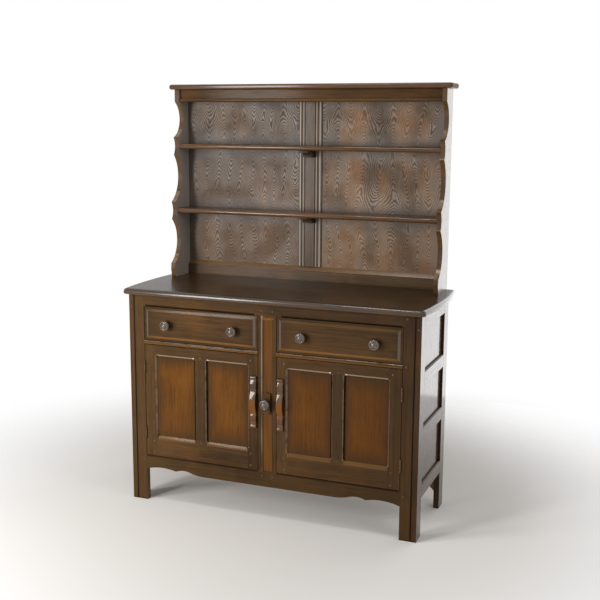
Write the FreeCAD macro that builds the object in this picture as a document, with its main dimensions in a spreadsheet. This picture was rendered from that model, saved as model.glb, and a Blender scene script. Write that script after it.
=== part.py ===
# Open-rack dresser: a sideboard base with two drawers over two panelled doors, and an open plate rack.
# Millimetres. X runs to the viewer's right, Y to the back, Z up. The origin is on the floor, under the middle.

import FreeCAD, Part
import Sketcher
import os

SIZES = {
    # Base, outside
    "carcass_width": 1160,
    "carcass_depth": 400,
    "top_thickness": 22,
    "top_front_overhang": 25,
    "top_rear_overhang": 50,
    "top_end_overhang": 14,
    "top_end_bow": 16,
    "top_corner_radius": 18,
    "top_nose_radius": 13,
    "top_under_radius": 5,
    # Heights of the front, from the floor up
    "apron_top_height": 186,
    "door_height": 445,
    "drawer_rail_height": 14,
    "drawer_opening_height": 134,
    "top_rail_height": 45,
    "joint_gap": 2,
    # Front frame
    "frame_thickness": 22,
    "stile_width": 42,
    "muntin_width": 72,
    "quirk": 2,
    "edge_chamfer": 6,
    "chamfer_stop": 14,
    "drawer_rail_nose": 4,
    "apron_depth": 60,
    "apron_arch_rise": 13,
    "apron_bevel": 9,
    "tenon_thickness": 8,
    "tenon_length": 24,
    "channel_width": 48,
    "channel_depth": 4,
    "channel_stop": 16,
    "bead_radius": 3,
    # Side frames
    "post_thickness": 22,
    "post_depth": 58,
    "side_rail_height": 50,
    "lower_panel_height": 166,
    "middle_panel_height": 156,
    "side_bottom_drop": 38,
    "panel_thickness": 6,
    "panel_recess": 9,
    "groove_depth": 8,
    "rail_bevel": 4,
    # Inside and back of the base
    "floor_thickness": 18,
    "shelf_board_thickness": 15,
    "shelf_board_drop": 6,
    "shelf_board_setback": 60,
    "batten_size": 18,
    "rear_rail_thickness": 20,
    "rear_rail_height": 50,
    "rear_bracket": 98,
    "back_panel_thickness": 4,
    "runner_thickness": 18,
    "runner_width": 16,
    "guide_height": 18,
    # Doors
    "door_thickness": 20,
    "lock_stile_width": 42,
    "hinge_stile_width": 48,
    "door_top_rail_height": 43,
    "door_bottom_rail_height": 82,
    "sill_slope": 15,
    "door_muntin_width": 51,
    "door_panel_recess": 7,
    # Hinges
    "hinge_length": 50,
    "hinge_inset": 66,
    "leaf_thickness": 1.6,
    "leaf_depth": 16,
    "knuckle_radius": 3.5,
    "knuckle_proud": 2,
    "pin_radius": 1.6,
    "running_fit": 0.06,
    "working_clearance": 0.4,
    # Drawers
    "drawer_front_thickness": 20,
    "drawer_border": 9,
    "drawer_field_slope": 9,
    "drawer_field_proud": 4,
    "drawer_side_thickness": 10,
    "drawer_side_height": 128,
    "drawer_length": 340,
    "drawer_bottom_thickness": 5,
    "drawer_bottom_inset": 10,
    "drawer_groove_depth": 5,
    "slide_clearance": 0.3,
    "knob_spacing": 278,
    # Turned knobs
    "knob_radius": 20,
    "knob_length": 30,
    "spigot_radius": 5,
    "spigot_length": 12,
    "fit_clearance": 0.1,
    # Door handles
    "handle_length": 200,
    "handle_width": 25,
    "handle_height": 453,
    "handle_edge": 3.5,
    "handle_reach": 18,
    "handle_foot": 58,
    "finger_gap": 11,
    "handle_nose": 9,
    # Turn button
    "button_length": 82,
    "button_width": 30,
    "button_thickness": 7,
    "button_clearance": 0.5,
    # Rack
    "rack_end_inset": 20,
    "rack_side_thickness": 18,
    "rack_side_height": 756,
    "rack_top_thickness": 20,
    "rack_top_end_overhang": 20,
    "rack_top_front_overhang": 15,
    "rack_top_corner": 12,
    "rack_top_nose": 8,
    "foot_depth": 148,
    "foot_height": 58,
    "foot_nose": 6,
    "lower_side_depth": 135,
    "upper_side_depth": 110,
    "block_depth": 95,
    "scallop_depth": 46,
    "saddle_height": 70,
    "saddle_depth": 11,
    "lower_shelf_height": 263,
    "upper_shelf_height": 522,
    "shelf_thickness": 19,
    "frieze_height": 48,
    "frieze_thickness": 18,
    "frieze_setback": 8,
    "frieze_bead": 12,
    "frieze_step": 4,
    "rack_panel_thickness": 6,
    "rack_panel_inset": 8,
    "rack_groove": 6,
    "rack_muntin_width": 98,
    "rack_muntin_thickness": 22,
    "rack_muntin_beads": 29,
    "rack_bead_rise": 2.5,
    "rack_rail_height": 58,
    "rack_rail_thickness": 30,
    "rack_rail_face": 38,
    "bracket_width": 40,
    "bracket_length": 74,
    "bracket_height": 28,
    "bracket_tip": 9,
    "plug_radius": 4,
    "plug_depth": 6,
    "plate_width": 24,
    "plate_height": 44,
    "plate_thickness": 2,
    "screw_radius": 2.2,
    "screw_length": 16,
    "screw_head_radius": 4.5,
    "screw_head": 1.5,
    # Pegs in the frame joints
    "peg_radius": 4,
    "peg_depth": 16,
    "peg_proud": 0.8,
    # How far a cutting shape runs past what it cuts
    "overrun": 3,
}

doc = FreeCAD.newDocument("dresser")
sheet = doc.addObject("Spreadsheet::Sheet", "sizes")
for row, (alias, size) in enumerate(SIZES.items(), start=1):
    sheet.set(f"A{row}", alias)
    sheet.set(f"B{row}", str(size))
    sheet.setAlias(f"B{row}", alias)
doc.recompute()


class Size:
    """A length worked out from the sheet: the expression that gives it, and its value now."""

    def __init__(self, text, value):
        self.text = text
        self.value = value

    def joined(self, sign, other, flip=False):
        first, second = (other, self) if flip else (self, other)
        values = {"+": value_of(first) + value_of(second), "-": value_of(first) - value_of(second)}
        if sign == "*":
            return Size(f"({text_of(first)} * {text_of(second)})", value_of(first) * value_of(second))
        if sign == "/":
            return Size(f"({text_of(first)} / {text_of(second)})", value_of(first) / value_of(second))
        return Size(f"({text_of(first)} {sign} {text_of(second)})", values[sign])

    def __add__(self, other):
        return self.joined("+", other)

    def __radd__(self, other):
        return self.joined("+", other, flip=True)

    def __sub__(self, other):
        return self.joined("-", other)

    def __rsub__(self, other):
        return self.joined("-", other, flip=True)

    def __mul__(self, other):
        return self.joined("*", other)

    def __rmul__(self, other):
        return self.joined("*", other, flip=True)

    def __truediv__(self, other):
        return self.joined("/", other)

    def __neg__(self):
        return Size(f"(-{self.text})", -self.value)


def value_of(size):
    return size.value if isinstance(size, Size) else size


def text_of(size):
    return size.text if isinstance(size, Size) else repr(size)


class SheetSizes:
    """Gives each cell of the sheet as a Size, by its alias."""

    def __getattr__(self, alias):
        return Size(f"sizes.{alias}", float(sheet.get(alias)))


s = SheetSizes()


# Drawing helpers

def bind(thing, prop, size):
    """Ties a property to the sheet, or sets it where it is a plain zero."""
    if isinstance(size, Size):
        thing.setExpression(prop, size.text)


def place(thing, low):
    for axis, size in zip("xyz", low):
        bind(thing, f"Placement.Base.{axis}", size)
    return thing


def board(label, low, size):
    """A rectangular board, by its lowest corner and its three sizes."""
    box = doc.addObject("Part::Box", label)
    for prop, length in zip(("Length", "Width", "Height"), size):
        bind(box, prop, length)
    return place(box, low)


def frustum(label, near, far):
    """A block between two rectangles that face each other along Y: each is (y, x0, x1, z0, z1)."""
    wedge = doc.addObject("Part::Wedge", label)
    for prop, size in zip(("Ymin", "Xmin", "Xmax", "Zmin", "Zmax"), near):
        setattr(wedge, prop, value_of(size))
        bind(wedge, prop, size)
    for prop, size in zip(("Ymax", "X2min", "X2max", "Z2min", "Z2max"), far):
        setattr(wedge, prop, value_of(size))
        bind(wedge, prop, size)
    return wedge


def rod(label, centre, direction, radius, length):
    """A round rod that starts at centre and runs along direction."""
    cylinder = doc.addObject("Part::Cylinder", label)
    bind(cylinder, "Radius", radius)
    bind(cylinder, "Height", length)
    cylinder.Placement.Rotation = FreeCAD.Rotation(FreeCAD.Vector(0, 0, 1), FreeCAD.Vector(*direction))
    return place(cylinder, centre)


def cut(label, base, *tools):
    """The base less every tool."""
    result = doc.addObject("Part::Cut", label)
    result.Base = base
    result.Tool = tools[0] if len(tools) == 1 else group(f"{label}_cutters", *tools)
    return result


def fuse(label, *shapes):
    result = doc.addObject("Part::MultiFuse", label)
    result.Shapes = list(shapes)
    result.Refine = True
    return result


def group(label, *members):
    """Separate solids that share one node."""
    result = doc.addObject("Part::Compound", label)
    result.Links = list(members)
    return result


def arc_radius(start, end, rise):
    """Radius of the arc between two points whose middle stands off the chord by rise."""
    across = end[0] - start[0]
    along = end[1] - start[1]
    return ((across * across + along * along) / 4 + rise * rise) / (2 * rise)


def plane_of(body, role):
    return [feature for feature in body.Origin.OriginFeatures if feature.Role == role][0]


def edge_curve(start, end, rise):
    """The line from start to end, or the arc that stands off it to the left by rise."""
    a = FreeCAD.Vector(value_of(start[0]), value_of(start[1]), 0)
    b = FreeCAD.Vector(value_of(end[0]), value_of(end[1]), 0)
    if rise is None:
        return Part.LineSegment(a, b)
    left = FreeCAD.Vector(a.y - b.y, b.x - a.x, 0).normalize()
    return Part.Arc(a, (a + b) / 2 + left * value_of(rise), b)


def outline(body, role, points):
    """A closed sketch on a plane of the body. A third value at a point bows the edge that leaves it."""
    sketch = body.newObject("Sketcher::SketchObject", f"{body.Label}_outline")
    sketch.AttachmentSupport = [(plane_of(body, role), "")]
    sketch.MapMode = "FlatFace"
    rises = [point[2] if len(point) > 2 else None for point in points]
    ends = points[1:] + points[:1]
    ids = [sketch.addGeometry(edge_curve(*edge)) for edge in zip(points, ends, rises)]
    starts = []
    for geometry, point in zip(ids, points):
        corner = FreeCAD.Vector(value_of(point[0]), value_of(point[1]), 0)
        near = [(sketch.getPoint(geometry, which) - corner).Length for which in (1, 2)]
        starts.append(1 if near[0] <= near[1] else 2)
    rules = []
    sizes = []
    for index, (geometry, point, rise, end) in enumerate(zip(ids, points, rises, ends)):
        following = (index + 1) % len(ids)
        rules.append(Sketcher.Constraint("Coincident", geometry, 3 - starts[index],
                                         ids[following], starts[following]))
        sizes.append(None)
        for kind, axis, size in (("DistanceX", -2, point[0]), ("DistanceY", -1, point[1])):
            if isinstance(size, Size):
                rules.append(Sketcher.Constraint(kind, -1, 1, geometry, starts[index], size.value))
                sizes.append(size)
            else:
                rules.append(Sketcher.Constraint("PointOnObject", geometry, starts[index], axis))
                sizes.append(None)
        if rise is not None:
            radius = arc_radius(point, end, rise)
            radius = radius if radius.value > 0 else -radius
            rules.append(Sketcher.Constraint("Radius", geometry, radius.value))
            sizes.append(radius)
    for rule, size in zip(sketch.addConstraint(rules), sizes):
        if size is not None:
            sketch.setExpression(f"Constraints[{rule}]", size.text)
    return sketch


def extrusion(label, role, points, length, low, reverse=False):
    """A body whose outline, drawn on one of its planes, is padded by length and placed at low."""
    body = doc.addObject("PartDesign::Body", label)
    sketch = outline(body, role, points)
    pad = body.newObject("PartDesign::Pad", f"{label}_pad")
    pad.Profile = sketch
    pad.Reversed = reverse
    bind(pad, "Length", length)
    return place(body, low)


def round_edges(body, radius, wanted):
    """Rounds those edges of the body that pass the test."""
    doc.recompute()
    plain = body.Tip
    names = [f"Edge{n}" for n, edge in enumerate(plain.Shape.Edges, start=1) if wanted(edge)]
    fillet = body.newObject("PartDesign::Fillet", f"{body.Label}_round")
    fillet.Base = (plain, names)
    bind(fillet, "Radius", radius)
    return body


def turning(label, points, low):
    """A turned piece about the Y axis. Each point is (radius, distance along the axis)."""
    body = doc.addObject("PartDesign::Body", label)
    sketch = outline(body, "XY_Plane", points)
    turn = body.newObject("PartDesign::Revolution", f"{label}_turn")
    turn.Profile = sketch
    turn.ReferenceAxis = (sketch, ["V_Axis"])
    return place(body, low)


def span(side, inner, outer):
    """Lowest X and length of a stretch between two distances from the middle, on one side of it."""
    return (inner if side > 0 else -outer), outer - inner


SIDES = {"left": -1, "right": 1}
NODES = []


def keep(thing):
    """Counts an object among the finished pieces."""
    NODES.append(thing)
    return thing


# Places that many pieces share
half_width = s.carcass_width / 2
post_inner = half_width - s.post_thickness
opening_outer = post_inner - s.stile_width
muntin_half = s.muntin_width / 2
button_reach = s.button_clearance + s.button_thickness + s.knob_length
rear_reach = s.carcass_depth + s.top_rear_overhang + s.plate_thickness + s.screw_head
front = (button_reach - rear_reach) / 2
frame_back = front + s.frame_thickness
carcass_rear = front + s.carcass_depth
top_rear = carcass_rear + s.top_rear_overhang
door_low = s.apron_top_height + s.joint_gap
door_high = door_low + s.door_height
rail_low = door_high + s.joint_gap
rail_high = rail_low + s.drawer_rail_height
opening_high = rail_high + s.drawer_opening_height
top_under = opening_high + s.top_rail_height
top_surface = top_under + s.top_thickness
rear_rail_back = carcass_rear - s.back_panel_thickness
rear_rail_front = rear_rail_back - s.rear_rail_thickness
tenon_front = front + (s.frame_thickness - s.tenon_thickness) / 2
side_bottom = s.apron_top_height - s.side_bottom_drop


# Pegs in the front frame

def frame_peg_places():
    """Where each peg shows on the front of the frame, and the way it points."""
    places = {}
    for side, sign in SIDES.items():
        x = sign * (opening_outer + s.tenon_length / 2)
        places[f"{side}_top"] = (x, front, opening_high + s.top_rail_height * 2 / 3)
        places[f"{side}_rail"] = (x, front, rail_low + s.drawer_rail_height / 2)
        places[f"{side}_apron"] = (x, front, s.apron_top_height - s.apron_depth / 3)
        post_middle = sign * (half_width - s.post_thickness / 2)
        places[f"{side}_post"] = (post_middle, front, top_under - s.side_rail_height)
        beside = sign * s.muntin_width * 3 / 10
        places[f"{side}_muntin_top"] = (beside, front, opening_high + s.tenon_length * 3 / 4)
        places[f"{side}_muntin_low"] = (beside, front, s.apron_top_height - s.tenon_length * 3 / 4)
    return places


def hole(label, where):
    """A blind hole for a peg."""
    return rod(label, where, (0, 1, 0), s.peg_radius + s.fit_clearance, s.peg_depth)


def peg(label, where):
    """A peg that fills its hole and stands a little proud of the face."""
    x, y, z = where
    return rod(label, (x, y - s.peg_proud, z), (0, 1, 0), s.peg_radius, s.peg_depth + s.peg_proud)


peg_holes = {name: hole(f"{name}_peg_hole", where) for name, where in frame_peg_places().items()}


# Base: side frames

def side_rail_heights():
    """Lower edges of the four rails of a side frame, from the bottom rail to the top one."""
    second = side_bottom + s.side_rail_height + s.lower_panel_height
    third = second + s.side_rail_height + s.middle_panel_height
    return [side_bottom, second, third, top_under - s.side_rail_height]


shelf_board_height = side_rail_heights()[1] + s.side_rail_height - s.shelf_board_drop


def side_post(side, name, y_low):
    """A leg: one post of a side frame, quirked where the front stile meets it, with a groove for the panels."""
    label = f"{side}_{name}_post"
    sign = SIDES[side]
    x_low, _ = span(sign, post_inner, half_width)
    inner = 0 if sign > 0 else s.post_thickness
    outer = s.post_thickness if sign > 0 else 0
    step = s.quirk if sign > 0 else -s.quirk
    section = [(inner, s.quirk), (inner + step, 0), (outer, 0), (outer, s.post_depth), (inner, s.post_depth)]
    post = extrusion(f"{label}_section", "XY_Plane", section, top_under, (x_low, y_low, 0))
    groove_y = y_low + s.post_depth - s.groove_depth if name == "front" else y_low
    groove_x, _ = span(sign, panel_inner, panel_inner + s.panel_thickness)
    groove = board(f"{label}_groove", (groove_x, groove_y, side_bottom),
                   (s.panel_thickness, s.groove_depth, top_under - side_bottom))
    tools = [groove, peg_holes[f"{side}_post"]] if name == "front" else [groove]
    return cut(label, post, *tools)


panel_inner = half_width - s.panel_recess - s.panel_thickness
front_panel_edge = front + s.post_depth
rear_panel_edge = carcass_rear - s.post_depth


def side_rails():
    """All eight rails, with stub tenons in the post grooves and bevelled upper outer edges."""
    rails = []
    for side, sign in SIDES.items():
        for number, z_low in enumerate(side_rail_heights()):
            label = f"{side}_side_rail_{number}"
            x_low, width = span(sign, post_inner, half_width)
            groove_x, _ = span(sign, panel_inner, panel_inner + s.panel_thickness)
            length = rear_panel_edge - front_panel_edge
            rail = board(f"{label}_board", (x_low, front_panel_edge, z_low), (width, length, s.side_rail_height))
            tongue = board(f"{label}_tongue", (groove_x, front_panel_edge - s.groove_depth, z_low),
                           (s.panel_thickness, length + 2 * s.groove_depth, s.side_rail_height))
            rail = fuse(f"{label}_tenoned", rail, tongue)
            tools = []
            if number < 3:
                top_groove = board(f"{label}_top_groove",
                                   (groove_x, front_panel_edge - s.groove_depth,
                                    z_low + s.side_rail_height - s.groove_depth),
                                   (s.panel_thickness, length + 2 * s.groove_depth, s.groove_depth))
                tools += [top_groove, rail_bevel(label, sign, z_low + s.side_rail_height)]
            if number > 0:
                tools.append(board(f"{label}_low_groove", (groove_x, front_panel_edge - s.groove_depth, z_low),
                                   (s.panel_thickness, length + 2 * s.groove_depth, s.groove_depth)))
            rails.append(cut(label, rail, *tools))
    return group("side_rails", *rails)


def rail_bevel(label, sign, z_top):
    """The sloped upper outer edge of a side rail."""
    step = s.rail_bevel if sign > 0 else -s.rail_bevel
    section = [(0, 0), (step, 0), (step, -s.rail_bevel)]
    length = rear_panel_edge - front_panel_edge
    x = sign * (half_width - s.rail_bevel)
    return extrusion(f"{label}_bevel", "XZ_Plane", section, length, (x, front_panel_edge, z_top), reverse=True)


def side_panels():
    """The three flat panels on each side, held in the grooves of posts and rails."""
    panels = []
    heights = side_rail_heights()
    for side, sign in SIDES.items():
        x_low, width = span(sign, panel_inner, panel_inner + s.panel_thickness)
        for number, (below, above) in enumerate(zip(heights, heights[1:])):
            z_low = below + s.side_rail_height - s.groove_depth
            panels.append(board(f"{side}_side_panel_{number}", (x_low, front_panel_edge - s.groove_depth, z_low),
                                (width, rear_panel_edge - front_panel_edge + 2 * s.groove_depth,
                                 above + s.groove_depth - z_low)))
    return group("side_panels", *panels)


for side in SIDES:
    keep(group(f"{side}_side_posts", side_post(side, "front", front),
               side_post(side, "rear", carcass_rear - s.post_depth)))
keep(side_rails())
keep(side_panels())


# Base: front frame

def stopped_chamfer(label, y, x0, x1, z0, z1, slope):
    """A cutter for a chamfer that runs out before the ends of an edge. Slope tells the side of the edge."""
    depth = s.edge_chamfer
    far = {"down": (x0 + depth, x1 - depth, z0, z0), "up": (x0 + depth, x1 - depth, z1, z1),
           "left": (x0, x0, z0 + depth, z1 - depth), "right": (x1, x1, z0 + depth, z1 - depth)}[slope]
    return frustum(label, (y, x0, x1, z0, z1), (y + depth, *far))


def tenon(label, x_low, length, z_low, height):
    """A tenon, or the mortise that it fills, in the thickness of the front frame."""
    return board(label, (x_low, tenon_front, z_low), (length, s.tenon_thickness, height))


def frame_tenons():
    """Tenons of the front frame's rails and muntin, which the stiles and rails are mortised for."""
    tenons = {}
    for side, sign in SIDES.items():
        x_low, length = span(sign, opening_outer, opening_outer + s.tenon_length)
        shoulder = s.top_rail_height / 6
        tenons[f"{side}_top"] = tenon(f"{side}_top_tenon", x_low, length, opening_high + shoulder,
                                      s.top_rail_height - 2 * shoulder)
        tenons[f"{side}_rail"] = tenon(f"{side}_rail_tenon", x_low, length, rail_low, s.drawer_rail_height)
        tenons[f"{side}_apron"] = tenon(f"{side}_apron_tenon", x_low, length,
                                        s.apron_top_height - s.apron_depth / 2, s.apron_depth / 3)
        inner, inner_length = span(sign, muntin_half - s.tenon_length, muntin_half)
        tenons[f"{side}_inner"] = tenon(f"{side}_inner_tenon", inner, inner_length, rail_low, s.drawer_rail_height)
    width = s.muntin_width * 3 / 4
    tenons["muntin_top"] = tenon("muntin_top_tenon", -width / 2, width, opening_high, s.tenon_length)
    tenons["muntin_low"] = tenon("muntin_low_tenon", -width / 2, width,
                                 s.apron_top_height - s.tenon_length, s.tenon_length)
    return tenons


tenons = frame_tenons()


def hinge_heights():
    """Lower ends of the two hinges of a door."""
    return [door_low + s.hinge_inset, door_high - s.hinge_inset - s.hinge_length]


def hinge_recess(label, sign, x_face, into):
    """The mortises that let one side's hinge leaves and knuckles into a stile. Into is 1 away from the middle."""
    recesses = []
    for number, z_low in enumerate(hinge_heights()):
        way = sign * into
        x_low, depth = (x_face, s.leaf_thickness) if way > 0 else (x_face - s.leaf_thickness, s.leaf_thickness)
        recesses.append(board(f"{label}_leaf_{number}", (x_low, front, z_low),
                              (depth, s.leaf_depth, s.hinge_length)))
        knuckle = rod(f"{label}_knuckle_{number}", (hinge_x(sign), hinge_y, z_low - s.working_clearance),
                      (0, 0, 1), s.knuckle_radius + s.working_clearance,
                      s.hinge_length + 2 * s.working_clearance)
        recesses.append(knuckle)
    return recesses


hinge_y = front - s.knuckle_proud


def hinge_x(sign):
    return sign * (opening_outer - s.joint_gap / 2)


def front_stile(side):
    """A front stile: mortised for the rails and let in for the hinges, with a quirk beside the side post."""
    sign = SIDES[side]
    x_low, width = span(sign, opening_outer, post_inner)
    outer = width if sign > 0 else 0
    inner = 0 if sign > 0 else width
    step = -s.quirk if sign > 0 else s.quirk
    section = [(inner, 0), (outer + step, 0), (outer, s.quirk), (outer, s.frame_thickness),
               (inner, s.frame_thickness)]
    stile = extrusion(f"{side}_stile_section", "XY_Plane", section, top_under, (x_low, front, 0))
    tools = [tenons[f"{side}_{joint}"] for joint in ("top", "rail", "apron")]
    tools += hinge_recess(f"{side}_stile_recess", sign, sign * opening_outer, 1)
    tools += [peg_holes[f"{side}_{joint}"] for joint in ("top", "rail", "apron")]
    return cut(f"{side}_front_stile", stile, *tools)


def front_top_rail():
    """The rail over the drawers, with a stopped chamfer over each of them."""
    rail = board("top_rail_board", (-opening_outer, front, opening_high),
                 (2 * opening_outer, s.frame_thickness, s.top_rail_height))
    rail = fuse("top_rail_tenoned", rail, tenons["left_top"], tenons["right_top"])
    tools = [tenons["muntin_top"]]
    for side, sign in SIDES.items():
        tools += [peg_holes[f"{side}_top"], peg_holes[f"{side}_muntin_top"]]
        x_low, length = span(sign, muntin_half + s.chamfer_stop, opening_outer - s.joint_gap)
        tools.append(stopped_chamfer(f"{side}_top_rail_chamfer", front, x_low, x_low + length,
                                     opening_high, opening_high + s.edge_chamfer, "down"))
    return cut("front_top_rail", rail, *tools)


def centre_muntin():
    """The muntin between drawers and doors: a sunk channel with beaded edges, open below and stopped above."""
    low = s.apron_top_height
    body = board("muntin_board", (-muntin_half, front, low),
                 (s.muntin_width, s.frame_thickness, opening_high - low))
    half = s.channel_width / 2
    slope = s.channel_depth
    z0 = low - s.overrun
    z1 = opening_high - s.channel_stop / 2
    z_end = z1 - s.channel_stop / 2
    channel = frustum("muntin_channel", (front, -half, half, z0, z1),
                      (front + slope, slope - half, half - slope, z0, z_end))
    hollow = cut("muntin_hollow", body, channel)
    beads = [rod(f"muntin_bead_{sign}", (sign * (half - s.bead_radius), front + s.bead_radius, low),
                 (0, 0, 1), s.bead_radius, z_end - low) for sign in (-1, 1)]
    whole = fuse("muntin_whole", hollow, *beads, tenons["muntin_top"], tenons["muntin_low"])
    bore = rod("muntin_bore", (0, front - s.overrun, s.handle_height), (0, 1, 0),
               s.spigot_radius + s.running_fit, s.frame_thickness + 2 * s.overrun)
    pegs = [peg_holes[f"{side}_muntin_{end}"] for side in SIDES for end in ("top", "low")]
    return cut("centre_muntin", whole, tenons["left_inner"], tenons["right_inner"], bore, *pegs)


def drawer_rails():
    """The two round-nosed rails between drawers and doors."""
    rails = []
    section = [(0, 0), (s.frame_thickness, 0), (s.frame_thickness, s.drawer_rail_height),
               (0, s.drawer_rail_height, -s.drawer_rail_nose)]
    for side, sign in SIDES.items():
        x_low, length = span(sign, muntin_half, opening_outer)
        rail = extrusion(f"{side}_rail_section", "YZ_Plane", section, length, (x_low, front, rail_low))
        whole = fuse(f"{side}_rail_tenoned", rail, tenons[f"{side}_rail"], tenons[f"{side}_inner"])
        rails.append(cut(f"{side}_drawer_rail", whole, peg_holes[f"{side}_rail"]))
    return group("drawer_rails", *rails)


# Along the lower edge of the apron, from the leg: how far in, how high, and the rise of the arc that follows
APRON_SHARES = {"leg": (0, 0.15, 0.72), "cusp": (0.248, 0.45, 0.46), "flow": (0.37, 0.7, -0.21),
                "foot": (0.492, 0, 0)}


def front_apron():
    """The apron under the doors: its lower edge arches from each leg to a cusp, a lobe and a long straight."""
    half = opening_outer
    rise = s.apron_arch_rise
    along = list(APRON_SHARES.values())
    points = [(half * (inset - 1), rise * height, rise * bow) for inset, height, bow in along[:-1]]
    points += [(sign * half * (1 - along[-1][0]), 0) for sign in (-1, 1)]
    points[-1] = (*points[-1], rise * along[-2][2])
    back = [(half * (1 - inset), rise * height) for inset, height, _ in along[-2::-1]]
    bows = [rise * bow for _, _, bow in along[-3::-1]]
    points += [(*point, bow) for point, bow in zip(back, bows)] + back[-1:]
    points += [(half, s.apron_depth), (-half, s.apron_depth)]
    low = s.apron_top_height - s.apron_depth
    apron = extrusion("apron_outline_board", "XZ_Plane", points, s.frame_thickness, (0, front, low), reverse=True)
    apron = fuse("apron_tenoned", apron, tenons["left_apron"], tenons["right_apron"])
    tools = [tenons["muntin_low"]]
    high = s.apron_top_height
    for side, sign in SIDES.items():
        tools += [peg_holes[f"{side}_apron"], peg_holes[f"{side}_muntin_low"]]
        x_low, length = span(sign, muntin_half + s.joint_gap, opening_outer - s.joint_gap)
        bevel = s.apron_bevel
        tools.append(frustum(f"{side}_apron_bevel", (front, x_low, x_low + length, high - bevel, high),
                             (front + bevel, x_low + bevel, x_low + length - bevel, high, high)))
    return cut("front_apron", apron, *tools)


def frame_pegs():
    """The pegs that show on the front frame and on the edges of the side posts."""
    return group("frame_pegs", *[peg(f"{name}_peg", where) for name, where in frame_peg_places().items()])


for side in SIDES:
    keep(front_stile(side))
keep(front_top_rail())
keep(centre_muntin())
keep(drawer_rails())
keep(front_apron())
keep(frame_pegs())


# Base: top board

def soft_board(label, points, depth, thickness, low, corner, nose, under):
    """A flat board with rounded front corners, and a round nose above and below on every edge but the back one."""
    body = extrusion(label, "XY_Plane", points, thickness, low)
    middle = thickness.value / 2
    rear = depth.value - middle
    round_edges(body, corner, lambda edge: edge.BoundBox.ZLength > middle and edge.BoundBox.YMax < depth.value / 2)
    round_edges(body, under, lambda edge: edge.BoundBox.ZMax < middle and edge.BoundBox.YMin < rear)
    return round_edges(body, nose, lambda edge: edge.BoundBox.ZMin > middle and edge.BoundBox.YMin < rear)


def base_top():
    """The top board: its ends are bowed outwards."""
    half = half_width + s.top_end_overhang
    depth = s.top_front_overhang + s.carcass_depth + s.top_rear_overhang
    points = [(-half, 0), (half, 0, -s.top_end_bow), (half, depth), (-half, depth, -s.top_end_bow)]
    plain = soft_board("base_top_board", points, depth, s.top_thickness,
                       (0, front - s.top_front_overhang, top_under),
                       s.top_corner_radius, s.top_nose_radius, s.top_under_radius)
    holes = [screw_hole(f"base_top_{side}_hole", screw_places()[side, "low"]) for side in SIDES]
    return cut("base_top", plain, *holes)


# Base: inside and back

def cupboard_floor():
    return board("cupboard_floor", (-post_inner, frame_back, s.apron_top_height - s.floor_thickness),
                 (2 * post_inner, rear_rail_front - frame_back, s.floor_thickness))


def cupboard_shelf():
    y_low = front + s.shelf_board_setback
    return board("cupboard_shelf", (-post_inner, y_low, shelf_board_height),
                 (2 * post_inner, rear_rail_front - y_low, s.shelf_board_thickness))


def cupboard_battens():
    """Battens on the side frames that carry the floor and the shelf."""
    battens = []
    for side, sign in SIDES.items():
        x_low, width = span(sign, post_inner - s.batten_size, post_inner)
        for name, z_top in (("floor", s.apron_top_height - s.floor_thickness), ("shelf", shelf_board_height)):
            battens.append(board(f"{side}_{name}_batten", (x_low, front_panel_edge, z_top - s.batten_size),
                                 (width, rear_panel_edge - front_panel_edge, s.batten_size)))
    return group("cupboard_battens", *battens)


def rear_bracket(side):
    """A three-cornered block under the bottom rail of the back, against a leg."""
    sign = SIDES[side]
    inwards = s.rear_bracket if sign < 0 else -s.rear_bracket
    section = [(0, 0), (0, -s.rear_bracket), (inwards, 0)]
    return extrusion(f"{side}_rear_bracket", "XZ_Plane", section, s.rear_rail_thickness,
                     (sign * post_inner, rear_rail_front, side_bottom), reverse=True)


def rear_rails():
    """Top, middle and bottom rails of the back, with a bracket at each leg under the bottom one."""
    heights = {"top": top_under - s.rear_rail_height, "middle": rail_high - s.rear_rail_height,
               "bottom": side_bottom}
    rails = [board(f"rear_{name}_rail", (-post_inner, rear_rail_front, z_low),
                   (2 * post_inner, s.rear_rail_thickness, s.rear_rail_height)) for name, z_low in heights.items()]
    return group("rear_rails", *rails, *[rear_bracket(side) for side in SIDES])


def base_back_panel():
    return board("base_back_panel", (-post_inner, rear_rail_back, side_bottom),
                 (2 * post_inner, s.back_panel_thickness, top_under - side_bottom))


def drawer_runners():
    """Runners that carry the drawers and guides beside them: one at each side, and a double one in the middle."""
    length = rear_rail_front - frame_back
    thick = s.runner_thickness
    low = rail_high - thick
    clear = s.joint_gap - s.working_clearance
    strips = []
    for side, sign in SIDES.items():
        guide_x, guide = span(sign, opening_outer - clear, post_inner)
        runner_x, runner = span(sign, opening_outer - clear - s.runner_width, post_inner)
        strips.append(board(f"{side}_runner", (runner_x, frame_back, low), (runner, length, thick)))
        strips.append(board(f"{side}_guide", (guide_x, frame_back, rail_high), (guide, length, s.guide_height)))
    half = muntin_half + clear
    runner_half = half + s.runner_width
    strips.append(board("centre_runner", (-runner_half, frame_back, low), (2 * runner_half, length, thick)))
    strips.append(board("centre_guide", (-half, frame_back, rail_high), (2 * half, length, s.guide_height)))
    return group("drawer_runners", *strips)


def drawer_kickers():
    """Strips over the drawer sides, which keep the drawers level and hold the top."""
    length = rear_rail_front - frame_back
    width = s.stile_width + s.joint_gap + s.runner_width
    kickers = []
    for side, sign in SIDES.items():
        x_low, _ = span(sign, post_inner - width, post_inner)
        kickers.append(board(f"{side}_kicker", (x_low, frame_back, opening_high),
                             (width, length, s.top_rail_height)))
    half = muntin_half + s.joint_gap + s.runner_width
    kickers.append(board("centre_kicker", (-half, frame_back, opening_high),
                         (2 * half, length, s.top_rail_height)))
    return group("drawer_kickers", *kickers)


keep(cupboard_floor())
keep(cupboard_shelf())
keep(cupboard_battens())
keep(rear_rails())
keep(base_back_panel())
keep(drawer_runners())
keep(drawer_kickers())


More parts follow.
